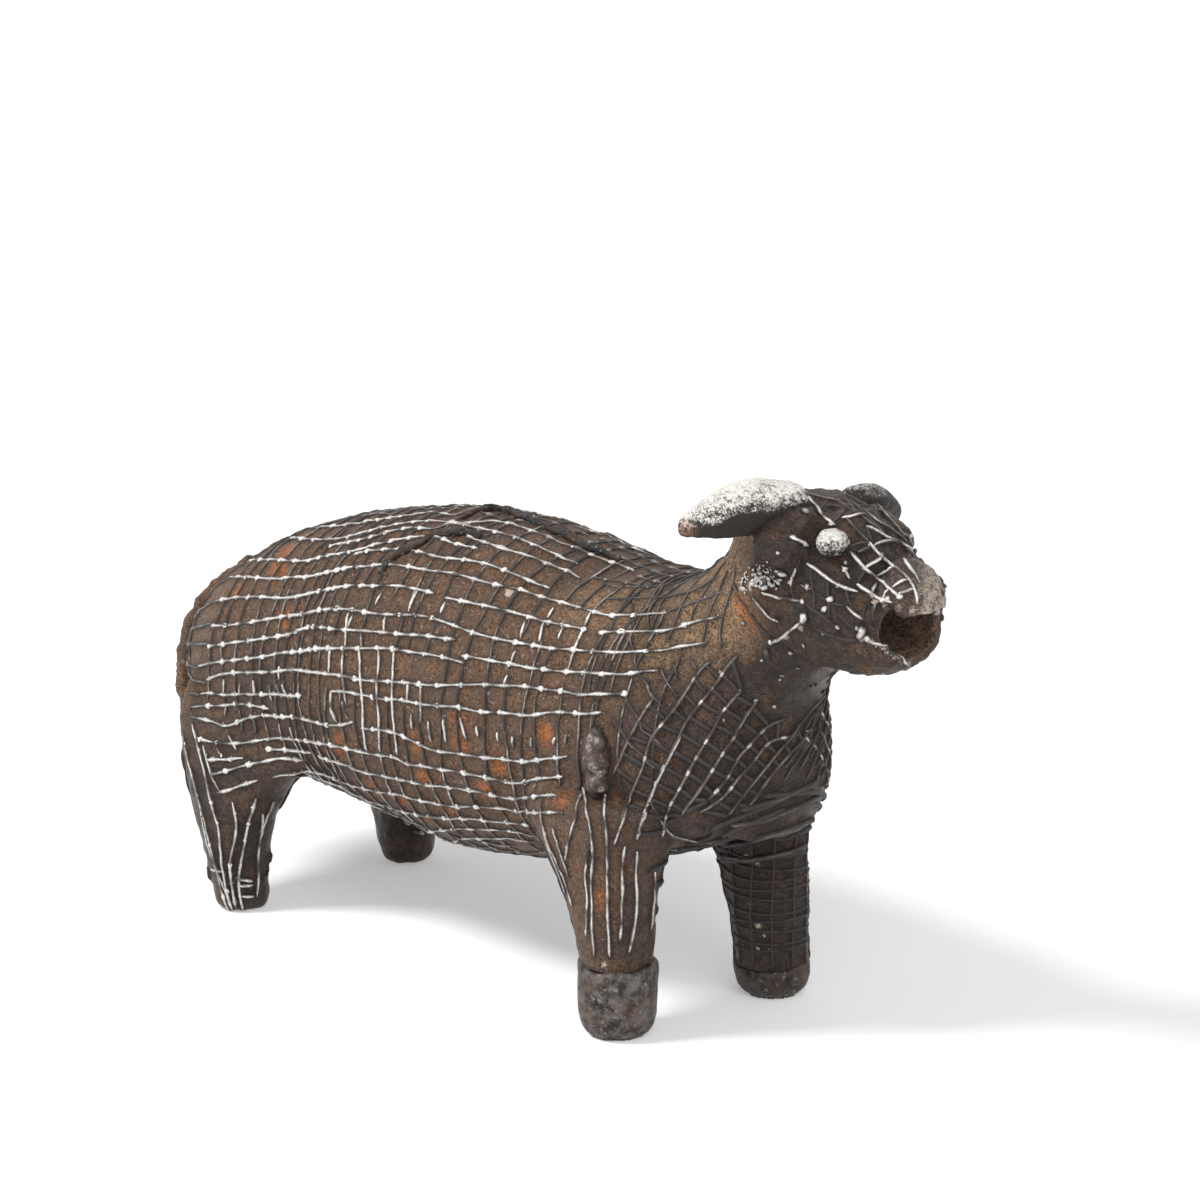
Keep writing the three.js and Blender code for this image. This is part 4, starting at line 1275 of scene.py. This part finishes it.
skin_pieces["right_ear"] = make_ear(-1, -0.1, 23, 9.2, 0)
skin_pieces["left_ear"] = make_ear(1, -0.5, 20.5, 7.6, -2)
for name, place in (("right_eye", (89.5, -8.2, 95.3)), ("left_eye", (87.6, 9.2, 91.6))):
    eye = made(name, *ball(place, (2.8, 2.8, 2.3)))
    skin_pieces[name] = roughened(eye, [(2.2, 0.3), (0.8, 0.18), (0.45, 0.08)], seed=21)


# ---- Strips of wax on the skin ----
# Places on the barrel: x, and degrees round it
tail_places = [(-67.4, 92), (-70, 94), (-73, 104), (-73.4, 150), (-71.8, 190), (-65, 212)]
lug_places = [(47.2, 171), (47.6, 181), (47.2, 194), (47.0, 206)]
flank_seam_pixels = [
    (380, 576), (396, 554), (417, 547), (431, 538), (448, 533), (466, 533), (480, 538),
]
back_seam_pixels = [
    (462, 520), (476, 512), (497, 510), (515, 515), (536, 525), (564, 536), (588, 548), (606, 555),
    (620, 562),
]


def make_strip(name, path, radii, lift, rough):
    """A strip of wax along a path on the skin, its radius blended between the given ones."""
    nearest = [body_tree.find_nearest(Vector(point)) for point in even_path(path, 0.5)]
    spots = soft_line([spot for spot, _, _, _ in nearest], 3)
    outs = unit(soft_line([out for _, out, _, _ in nearest], 3))
    along = unit(np.gradient(spots, axis=0))
    sizes = np.interp(np.linspace(0, 1, len(spots)), np.linspace(0, 1, len(radii)), radii)
    sizes = sizes * (1 + 0.35 * lumps(spots, 2.0, 31))
    rings = [
        ring(spot + out * lift, np.cross(way, out), out, [size] * 4, sides=14)
        for spot, out, way, size in zip(spots, outs, along, sizes)
    ]
    strip = remeshed(made(name, *loft(rings)), strip_grid)
    smooth(strip, 2)
    return roughened(strip, [(2.6, rough), (1.2, 0.4 * rough), (0.6, 0.15)], seed=8)


strips = {  # path, radii along it, how high its middle lies over the skin, and its roughness
    "tail": ([barrel_point(x, turn, 1) for x, turn in tail_places],
             [1.2, 1.9, 1.8, 1.7, 1.7, 2.1], 1.2, 0.35),
    "right_shoulder_lug": ([barrel_point(x, turn, 1) for x, turn in lug_places],
                           [0.9, 1.9, 2.3, 2.0, 1.6, 0.8], 0.6, 0.5),
    "flank_seam": (laid_path(flank_seam_pixels, body_tree), [0.5, 0.8, 0.55, 0.95, 0.5], 0.3, 0.45),
    "back_seam": (laid_path(back_seam_pixels, body_tree), [0.5, 1.0, 0.7, 0.9, 0.6], 0.3, 0.45),
}
for name, strip in strips.items():
    skin_pieces[name] = make_strip(name, *strip)

net_pieces = [net.finished() for net in nets]


# ---- Where the metal is dark, rusty or close to a thread ----
dark_spots = [  # place, reach, strength
    ((66, 2, 46), 30, 1.2), ((84, 0, 70), 18, 1.2), ((74, -4, 66), 18, 1.2),
    ((50.9, 16, 22), 30, 1.2), ((-48, 19, 14), 26, 1.0), ((0, 0, 16), 22, 0.5),
    ((-48, -19, 14), 24, 1.15), ((56, -18, 20), 12, 0.8), ((-30, -22, 32), 12, 0.6),
    ((88, 0, 86), 26, 1.1), ((-38, -22, 44), 9, 0.7), ((47.9, -18.7, 5), 12, 0.8),
    ((62, 16, 40), 20, 1.3), ((79, -13, 94), 10, 1.3), ((0, 0, 80), 12, 0.5),
    ((25, 0, 80), 12, 0.5), ((45, 0, 78), 12, 0.6), ((-25, 0, 76), 12, 0.5),
]
dark_edge = 1.35  # how far out a dark spot fades, to its reach
light_nape, nape_reach, nape_fade = (62, -12, 82), 9, 8  # not darkened, behind the head
shade_and_dirt_reach = 0.75  # from a thread, over which the sheet is darkened with dirt and painted shade
nose_edge, nose_fade = 386, 16  # in the photograph's pixels, right of the bull's middle
rust_pixels = [(x, y, 13) for x, y in (
    (285, 552), (280, 572), (236, 592), (332, 750), (402, 801), (420, 817), (459, 722), (340, 742),
    (447, 810), (375, 790), (600, 900), (460, 745), (560, 800), (300, 800), (742, 605), (750, 618),
    (276, 566), (284, 618), (336, 750), (424, 778), (500, 766), (484, 790), (416, 742), (544, 734),
    (683, 531),
)]
pale_pixels = [  # and how far each patch reaches
    (590, 738, 5), (596, 740, 4), (593, 768, 6), (600, 774, 6), (594, 780, 5), (509, 592, 7),
    (604, 965, 4), (748, 858, 6), (757, 862, 5), (862, 636, 6), (872, 642, 4), (884, 648, 4),
    (896, 657, 4), (908, 664, 4), (920, 665, 4), (760, 580, 9), (750, 586, 6), (773, 579, 6),
    (875, 602, 4), (885, 605, 4), (898, 608, 4), (912, 611, 4), (926, 614, 5), (938, 613, 5),
    (945, 603, 4), (800, 628, 5), (786, 637, 5), (588, 748, 5), (601, 790, 4),
    (750, 904, 3), (758, 925, 5), (758, 950, 4), (770, 950, 3), (764, 936, 3),
]
green_pixels = [(325, 700, 7), (332, 722, 7), (328, 738, 5), (746, 624, 3)]
light_pixels = [
    (702, 600, 70), (716, 578, 55), (640, 600, 60), (690, 636, 55), (728, 630, 35), (735, 600, 40),
    (600, 600, 45), (660, 655, 30),
]
outer_tree = tree_of(skin_pieces["right_shoulder_lug"], skin_pieces["right_ear"])


def spots_of(pixels):
    """The places that patches show at, on the outermost skin, and their reach."""
    found = []
    for x, y, reach in pixels:
        hits = [seen_point(x, y, tree) for tree in (whole_tree, outer_tree)]
        hits = [hit for hit in hits if hit is not None]
        if hits:
            spot = min(hits, key=lambda hit: (hit - camera_place).length)
            found.append((np.array(spot), reach / pixels_per_mm))
    return found


def nearness(points, spots):
    """One in the middle of a spot, fading to nothing at its reach."""
    near = np.zeros(len(points))
    for spot, reach in spots:
        near = np.maximum(near, 1.3 - np.linalg.norm(points - spot, axis=1) / reach)
    return np.clip(near, 0, 1)


patches = {"rust": rust_pixels, "pale": pale_pixels, "green": green_pixels, "light": light_pixels}
spots = {name: spots_of(pixels) for name, pixels in patches.items()}


def mark(thing):
    """Keeps on the mesh how dark, rusty, pale, green or light each point is, whether it is in
    the mouth or on the nose, and how close to a thread it lies."""
    points = points_of(thing.data)
    dark = np.zeros(len(points))
    for place, reach, strength in dark_spots:
        away = np.linalg.norm(points - np.array(place), axis=1) / reach
        dark = np.maximum(dark, strength * np.clip(dark_edge - away, 0, 1))
    inside = np.linalg.norm((points - np.array(mouth_place)) / np.array(mouth_reach), axis=1)
    keep_value(thing.data, "mouth", np.clip((1.16 - inside) / 0.1, 0, 1))
    from_nape = np.linalg.norm(points - np.array(light_nape), axis=1)
    dark = dark * np.clip((from_nape - nape_reach) / nape_fade, 0, 1)
    keep_value(thing.data, "dark", np.clip(dark, 0, 1))
    for name, places in spots.items():
        keep_value(thing.data, name, nearness(points, places))
    # closeness to a thread, which darkens the sheet with dirt and painted shade
    keep_value(thing.data, "close", np.exp(-((from_threads(points) / shade_and_dirt_reach) ** 2)))
    across_view = points @ np.array(camera_right) * pixels_per_mm
    keep_value(thing.data, "nose", np.clip((across_view - nose_edge) / nose_fade, 0, 1))


# ---- Materials ----
def socket(group, name, kind, way="INPUT", value=None):
    """A new input or output of a node group."""
    made_socket = group.interface.new_socket(name=name, in_out=way, socket_type=kind)
    if value is not None:
        made_socket.default_value = value


class Nodes:
    """Adds nodes to a tree and joins them up."""

    def __init__(self, tree):
        self.tree = tree
        self.column = 0

    def add(self, kind, inputs=None, **settings):
        node = self.tree.nodes.new(kind)
        node.location = (self.column * 180, 0)
        self.column += 1
        for name, value in settings.items():
            setattr(node, name, value)
        for name, value in (inputs or {}).items():
            if isinstance(value, bpy.types.NodeSocket):
                self.tree.links.new(value, node.inputs[name])
            else:
                node.inputs[name].default_value = value
        return node

    def math(self, operation, a, b=0.0, clamp=False):
        node = self.add("ShaderNodeMath", {0: a, 1: b}, operation=operation, use_clamp=clamp)
        return node.outputs[0]

    def times(self, a, b, clamp=False):
        return self.math("MULTIPLY", a, b, clamp)

    def plus(self, a, b):
        return self.math("ADD", a, b)

    def minus(self, a, b):
        return self.math("SUBTRACT", a, b)

    def mix(self, part, a, b):
        return self.add("ShaderNodeMix", {0: part, 6: a, 7: b}, data_type="RGBA").outputs[2]

    def ramp(self, value, low, high):
        """0 at low and 1 at high."""
        limits = {"Value": value, "From Min": low, "From Max": high}
        return self.add("ShaderNodeMapRange", limits).outputs[0]

    def noise(self, place, size, detail=3.0, rough=0.55):
        return self.add("ShaderNodeTexNoise", {
            "Vector": place, "Scale": 1 / (size * MM), "Detail": detail, "Roughness": rough,
        }).outputs["Fac"]

    def value_of(self, name):
        return self.add("ShaderNodeAttribute", attribute_name=name).outputs["Fac"]


def make_cast_grain():
    """Fine grain, pits and lumps of cast bronze, bright specks that stand for painted glints, with
    the height that they make.
    """
    group = bpy.data.node_groups.new("cast grain", "ShaderNodeTree")
    nodes = Nodes(group)
    socket(group, "Grain Size", "NodeSocketFloat", value=0.32)
    for name in ("Grain", "Patches", "Specks", "Height"):
        socket(group, name, "NodeSocketFloat", "OUTPUT")
    start = nodes.add("NodeGroupInput")
    place = nodes.add("ShaderNodeTexCoord").outputs["Object"]
    scale = nodes.math("DIVIDE", 1000.0, start.outputs["Grain Size"])
    fine = nodes.add("ShaderNodeTexNoise", {
        "Vector": place, "Scale": scale, "Detail": 4.0, "Roughness": 0.85}).outputs["Fac"]
    coarse = nodes.noise(place, 0.9, 4.0, 0.75)
    grain = nodes.ramp(nodes.plus(nodes.times(fine, 0.7), nodes.times(coarse, 0.3)), 0.43, 0.58)
    patches = nodes.ramp(nodes.noise(place, 4.5, 4.0, 0.6), 0.36, 0.64)
    # bright specks: painted glints
    glint_specks = nodes.ramp(nodes.noise(place, 0.7, 2.0, 0.5), 0.63, 0.70)
    pits = nodes.ramp(nodes.noise(place, 0.55, 1.0, 0.5), 0.30, 0.42)
    height = nodes.plus(nodes.times(fine, 0.7), coarse)
    height = nodes.plus(height, nodes.times(pits, 0.35))
    nodes.add("NodeGroupOutput", {
        "Grain": grain, "Patches": patches, "Specks": glint_specks, "Height": height})
    return group


marks = {  # inputs of the patina, and the values on the mesh that they read
    "Dark": "dark", "Rusty": "rust", "Close": "close", "Worn": "pale", "Greenish": "green",
    "Light": "light", "Mouth": "mouth",
}


def make_patina():
    """The colour of the sheet: brown ground, grey patches, rust, dark places, dirt and painted
    shade beside the threads.
    """
    group = bpy.data.node_groups.new("patina", "ShaderNodeTree")
    nodes = Nodes(group)
    for name, colour in (
            ("Brown", (0.320, 0.172, 0.090, 1)), ("Deep Brown", (0.026, 0.015, 0.010, 1)),
            ("Ochre", (0.62, 0.38, 0.20, 1)), ("Grey", (0.085, 0.070, 0.062, 1)),
            ("Dark Metal", (0.020, 0.016, 0.014, 1)), ("Rust", (0.52, 0.17, 0.04, 1)),
            ("Pale", (0.62, 0.50, 0.42, 1)), ("Green", (0.17, 0.18, 0.09, 1)),
            ("Silver", (0.55, 0.52, 0.48, 1))):
        socket(group, name, "NodeSocketColor", value=colour)
    for name in ("Grain", "Patches", "Specks", *marks):
        socket(group, name, "NodeSocketFloat")
    socket(group, "Colour", "NodeSocketColor", "OUTPUT")
    start = nodes.add("NodeGroupInput").outputs
    ground = nodes.mix(start["Light"], start["Brown"], start["Ochre"])
    grainy = nodes.mix(start["Grain"], start["Deep Brown"], ground)
    greyed = nodes.mix(nodes.times(start["Patches"], 0.5), grainy, start["Grey"])
    rusting = nodes.times(start["Rusty"], nodes.ramp(start["Grain"], 0.1, 0.7))
    rusted = nodes.mix(rusting, greyed, start["Rust"])
    metal = nodes.mix(nodes.times(start["Grain"], 0.5), start["Dark Metal"], start["Grey"])
    darkness = nodes.times(start["Dark"], nodes.ramp(start["Patches"], -0.9, 0.5))
    darkened = nodes.mix(nodes.times(darkness, 0.88, True), rusted, metal)
    # darker next to the threads: dirt, and painted shade where the sheet meets them
    dirt_and_shade = nodes.mix(nodes.times(start["Close"], 0.62), darkened, start["Dark Metal"])
    tinted = nodes.mix(nodes.times(start["Greenish"], 0.55), dirt_and_shade, start["Green"])
    hollow = nodes.mix(start["Grain"], (0.025, 0.017, 0.012, 1), (0.24, 0.155, 0.105, 1))
    hollowed = nodes.mix(start["Mouth"], tinted, hollow)
    # silver specks away from the dark places: painted glints
    glint_specks = nodes.times(start["Specks"], nodes.ramp(start["Dark"], 1.0, 0.0))
    glint_specked = nodes.mix(nodes.times(glint_specks, 0.3), hollowed, start["Silver"])
    bared = nodes.plus(start["Worn"], nodes.times(start["Grain"], 0.6))
    bared = nodes.times(nodes.ramp(bared, 0.75, 1.1), nodes.ramp(start["Worn"], 0.0, 0.25))
    nodes.add("NodeGroupOutput", {"Colour": nodes.mix(bared, glint_specked, start["Pale"])})
    return group


cast_grain, patina = make_cast_grain(), make_patina()


def new_material(name):
    material = bpy.data.materials.new(name)
    material.use_nodes = True
    material.node_tree.nodes.clear()
    return material, Nodes(material.node_tree)


def new_bronze(name, grain_size=0.32):
    """A new material with the cast grain in it."""
    material, nodes = new_material(name)
    grain = nodes.add("ShaderNodeGroup", {"Grain Size": grain_size}, node_tree=cast_grain)
    return material, nodes, grain.outputs


def finish_bronze(nodes, grain, bump, colour, inputs):
    """The shader, with the grain as its bump, so many millimetres high."""
    normal = nodes.add("ShaderNodeBump", {
        "Height": grain["Height"], "Strength": 0.9, "Distance": bump * MM}).outputs["Normal"]
    inputs = {"Base Color": colour, "Normal": normal, **inputs}
    shader = nodes.add("ShaderNodeBsdfPrincipled", inputs)
    nodes.add("ShaderNodeOutputMaterial", {0: shader.outputs[0]})


def make_sheet_bronze():
    """The wax sheet cast in bronze: brown, darker and glossier in the dark places."""
    material, nodes, grain = new_bronze("sheet bronze")
    values = {name: grain[name] for name in ("Grain", "Patches", "Specks")}
    values.update({name: nodes.value_of(value) for name, value in marks.items()})
    colour = nodes.add("ShaderNodeGroup", values, node_tree=patina).outputs[0]
    finish_bronze(nodes, grain, 0.45, colour, {
        "Roughness": nodes.minus(0.58, nodes.times(values["Dark"], 0.28)),
        "Metallic": nodes.plus(0.12, nodes.times(values["Dark"], 0.25)),
        "Specular IOR Level": 0.3,
    })
    return material


def make_thread_bronze():
    """Dark in the hollows, and silvery along the top: rubbed wear and a painted highlight."""
    material, nodes, grain = new_bronze("thread bronze", 0.24)
    shine = nodes.value_of("shine")
    # silvery where the shine is high: rubbed wear and a painted highlight along the crests
    worn = nodes.times(shine, nodes.plus(nodes.times(grain["Grain"], 0.7), 0.6))
    worn = nodes.ramp(worn, 0.22, 0.85)
    colour = nodes.mix(worn, (0.030, 0.025, 0.023, 1), (0.84, 0.81, 0.77, 1))
    tan = nodes.times(nodes.ramp(shine, 0.6, 0.25), nodes.ramp(shine, 0.1, 0.22))
    tan = nodes.times(tan, grain["Patches"])
    colour = nodes.mix(nodes.times(tan, 0.5), colour, (0.19, 0.125, 0.085, 1))
    finish_bronze(nodes, grain, 0.2, colour, {
        "Roughness": nodes.minus(0.52, nodes.times(worn, 0.2)),
        "Metallic": nodes.times(worn, 0.45), "Specular IOR Level": 0.4,
    })
    return material


def make_worn_and_top_lit_silver(name, cover, painted_top_light):
    """Crystalline silvery metal breaking out of dark patina; more of it where the skin faces up,
    which is painted light from above.
    """
    material, nodes, grain = new_bronze(name, 0.36)
    normal = nodes.add("ShaderNodeNewGeometry").outputs["Normal"]
    facing_up = nodes.add("ShaderNodeSeparateXYZ", {0: normal}).outputs["Z"]
    # facing up lifts the silver: painted light from above, on top of the worn grain and high lumps
    worn = nodes.plus(nodes.times(facing_up, painted_top_light), nodes.times(grain["Grain"], 0.6))
    worn = nodes.plus(worn, nodes.times(nodes.value_of("high"), 0.45))
    worn = nodes.ramp(worn, 1.0 - cover, 1.45 - cover)
    colour = nodes.mix(worn, (0.026, 0.021, 0.019, 1), (0.90, 0.86, 0.80, 1))
    pink = nodes.times(nodes.value_of("rust"), nodes.ramp(grain["Grain"], 0.1, 1.0))
    colour = nodes.mix(pink, colour, (0.55, 0.30, 0.20, 1))
    finish_bronze(nodes, grain, 0.4, colour, {
        "Roughness": nodes.minus(0.5, nodes.times(worn, 0.14)),
        "Metallic": nodes.times(worn, 0.4), "Specular IOR Level": 0.3,
    })
    return material


def make_nose_bronze():
    """Pale rubbed bronze with dark veins."""
    material, nodes, grain = new_bronze("worn nose bronze")
    place = nodes.add("ShaderNodeTexCoord").outputs["Object"]
    wander = nodes.noise(place, 2.2, 2.0, 0.5)
    vein = nodes.math("ABSOLUTE", nodes.minus(wander, 0.5))
    rubbed_metal = nodes.mix(grain["Grain"], (0.14, 0.10, 0.075, 1), (0.62, 0.54, 0.46, 1))
    bare = nodes.times(nodes.ramp(vein, 0.0, 0.03), nodes.ramp(grain["Patches"], -0.5, 0.6))
    there = nodes.plus(nodes.value_of("nose"), nodes.times(grain["Grain"], 0.25))
    bare = nodes.times(bare, nodes.ramp(there, 0.12, 1.0))
    bare = nodes.times(bare, nodes.ramp(nodes.value_of("close"), 1.6, 0.4))
    brown = nodes.mix(grain["Grain"], (0.026, 0.018, 0.014, 1), (0.12, 0.075, 0.05, 1))
    colour = nodes.mix(bare, brown, rubbed_metal)
    colour = with_pale(nodes, grain, colour, (0.1, 0.9), (0.25, 1.1), (0.74, 0.64, 0.57, 1))
    finish_bronze(nodes, grain, 0.3, colour, {"Roughness": 0.42, "Metallic": 0.4})
    return material


def with_pale(nodes, grain, colour, pale_span, grain_span, pale_colour):
    """The colour worn pale in the pale patches, there mostly on the high grain."""
    pale = nodes.times(nodes.ramp(nodes.value_of("pale"), *pale_span),
                       nodes.ramp(grain["Grain"], *grain_span))
    return nodes.mix(pale, colour, pale_colour)


def make_dark_bronze(name, grey=1.0):
    """Near-black bronze, mottled with grey and a little brown."""
    material, nodes, grain = new_bronze(name)
    place = nodes.add("ShaderNodeTexCoord").outputs["Object"]
    blotches = nodes.ramp(nodes.noise(place, 2.0, 5.0, 0.65), 0.40, 0.62)
    mottle = tuple(grey * part for part in (0.165, 0.145, 0.132)) + (1,)
    colour = nodes.mix(blotches, (0.016, 0.013, 0.011, 1), mottle)
    brown = nodes.times(nodes.ramp(grain["Patches"], 0.4, 1.0), 0.5)
    colour = nodes.mix(brown, colour, (0.12, 0.07, 0.045, 1))
    # light specks: painted glints
    colour = nodes.mix(nodes.times(grain["Specks"], 0.4), colour, (0.5, 0.47, 0.43, 1))
    colour = with_pale(nodes, grain, colour, (0.2, 0.9), (0.15, 1.2), (0.72, 0.63, 0.57, 1))
    finish_bronze(nodes, grain, 0.22, colour, {
        "Roughness": 0.48, "Metallic": 0.15, "Specular IOR Level": 0.3,
    })
    return material


def make_plain(name, colour, rough, metallic):
    """Rough clay or rusty iron, out of sight inside the casting."""
    material, nodes, grain = new_bronze(name)
    shade = nodes.mix(grain["Patches"], tuple(0.6 * part for part in colour) + (1,), (*colour, 1))
    finish_bronze(nodes, grain, 0.2, shade, {"Roughness": rough, "Metallic": metallic})
    return material


sheet_bronze, thread_bronze = make_sheet_bronze(), make_thread_bronze()
ear_silver = make_worn_and_top_lit_silver("worn top lit ear bronze", 0.27, 0.75)
far_ear_silver = make_worn_and_top_lit_silver("dark top lit ear bronze", -0.12, 0.75)
eye_silver = make_worn_and_top_lit_silver("worn top lit eye bronze", 0.72, 0.25)
nose_bronze = make_nose_bronze()
cap_bronze, lug_bronze = make_dark_bronze("cap bronze"), make_dark_bronze("lug bronze", 0.75)
# near-black seams: a dark joint, with the shadow of its crack painted along it
shaded_seam_bronze = make_dark_bronze("shaded seam bronze", 0.12)
far_cap_bronze = make_dark_bronze("far cap bronze", 0.45)
clay = make_plain("fired clay", (0.20, 0.11, 0.06), 0.95, 0.0)
iron = make_plain("rusty iron", (0.10, 0.05, 0.03), 0.85, 0.3)

piece_looks = {  # material and slot; every other piece is sheet bronze in the slot bronze
    "right_ear": (ear_silver, "worn_bronze"), "left_ear": (far_ear_silver, "worn_bronze"),
    "right_eye": (eye_silver, "worn_bronze"), "left_eye": (eye_silver, "worn_bronze"),
    "nose_pad": (nose_bronze, "worn_bronze"), "right_shoulder_lug": (lug_bronze, "bronze"),
    "left_hind_leg": (sheet_bronze, "dark_bronze"), "flank_seam": (shaded_seam_bronze, "dark_bronze"),
    "back_seam": (shaded_seam_bronze, "dark_bronze"), "right_forefoot_cap": (cap_bronze, "dark_bronze"),
    "left_forefoot_cap": (far_cap_bronze, "dark_bronze"),
}


def put_in_frame(thing, material):
    """From millimetres round the feet to metres in the frame, riding on the bull."""
    points = points_of(thing.data)
    set_points(thing.data, (points + np.array(feet_middle)) * MM)
    thing.data.materials.clear()
    thing.data.materials.append(material)
    for polygon in thing.data.polygons:
        polygon.use_smooth = True
    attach(thing, "root")


for name, piece in skin_pieces.items():
    mark(piece)
    material, slot = piece_looks.get(name, (sheet_bronze, "bronze"))
    piece.name = name + "_skin"
    put_in_frame(piece, material)
    piece.data.set_sharp_from_angle(angle=math.radians(55))
    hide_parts(name)
for piece in net_pieces:
    put_in_frame(piece, thread_bronze)
for name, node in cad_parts.items():
    if name == "clay_core" or name.startswith("core_pin"):
        node.data.materials.clear()
        node.data.materials.append(clay if name == "clay_core" else iron)


# ---- Camera, floor and light ----
def in_frame(point):
    """From millimetres round the feet to metres in the frame."""
    return (Vector(point) + feet_middle) * MM


camera_data = bpy.data.cameras.new("camera")
camera_data.sensor_width = 36.0
camera_data.lens = focal_pixels / picture_size * camera_data.sensor_width
camera_data.clip_start, camera_data.clip_end = 0.1, 20
camera = placed("camera", camera_data)
turned = Matrix((camera_right, camera_up, camera_back)).transposed().to_4x4()
camera.matrix_world = Matrix.Translation(in_frame(camera_place)) @ turned
bpy.context.scene.camera = camera


def seen_as_backdrop(nodes):
    """1 for the rays that show the backdrop itself: straight, mirrored or through glass."""
    path = nodes.add("ShaderNodeLightPath").outputs
    mirrored_too = nodes.math("MAXIMUM", path["Is Camera Ray"], path["Is Glossy Ray"])
    return nodes.math("MAXIMUM", mirrored_too, path["Is Transmission Ray"])


floor_reach = 4.0  # metres to each side
corners = [(-1, -1), (1, -1), (1, 1), (-1, 1)]
floor_mesh = bpy.data.meshes.new("floor")
corners = [(x * floor_reach, y * floor_reach, 0) for x, y in corners]
floor_mesh.from_pydata(corners, [], [(0, 1, 2, 3)])
floor = placed("floor", floor_mesh)
floor_white, nodes = new_material("white floor")
lit = nodes.add("ShaderNodeBsdfDiffuse", {"Color": (0.9, 0.9, 0.9, 1)}).outputs[0]
glow = nodes.add("ShaderNodeEmission", {"Color": (1, 1, 1, 1), "Strength": 0.3}).outputs[0]
nothing = nodes.add("ShaderNodeEmission", {"Strength": 0.0}).outputs[0]
seen_glow = nodes.add("ShaderNodeMixShader", {0: seen_as_backdrop(nodes), 1: nothing, 2: glow})
both = nodes.add("ShaderNodeAddShader", {0: lit, 1: seen_glow.outputs[0]})
nodes.add("ShaderNodeOutputMaterial", {0: both.outputs[0]})
floor_mesh.materials.append(floor_white)

plain_level = 0.43  # of the world's light on the bull; the backdrop itself shows at 1
world = bpy.data.worlds.new("studio")
bpy.context.scene.world = world
world.use_nodes = True
world.node_tree.nodes.clear()
nodes = Nodes(world.node_tree)
strength = nodes.plus(nodes.times(seen_as_backdrop(nodes), 1 - plain_level), plain_level)
background = nodes.add("ShaderNodeBackground", {"Color": (1, 1, 1, 1), "Strength": strength})
nodes.add("ShaderNodeOutputWorld", {0: background.outputs[0]})


def lamp(name, place, aim, size, power):
    """A round lamp; place and aim in millimetres, its size in metres, its power in watts."""
    data = bpy.data.lights.new(name, "AREA")
    data.shape, data.size, data.energy = "DISK", size, power
    place = in_frame(place)
    turned = (in_frame(aim) - place).to_track_quat("-Z", "Y").to_matrix().to_4x4()
    placed(name, data).matrix_world = Matrix.Translation(place) @ turned


key_place = camera_back * 250 - camera_right * 900 + Vector((0, 0, 1100))
front_place = camera_back * 1100 + camera_right * 300 + Vector((0, 0, 500))
lamp("key light", key_place, (0, 0, 40), 0.4, 15.5)
lamp("front light", front_place, (0, 0, 45), 0.8, 6)

bpy.context.scene.view_settings.view_transform = "Standard"
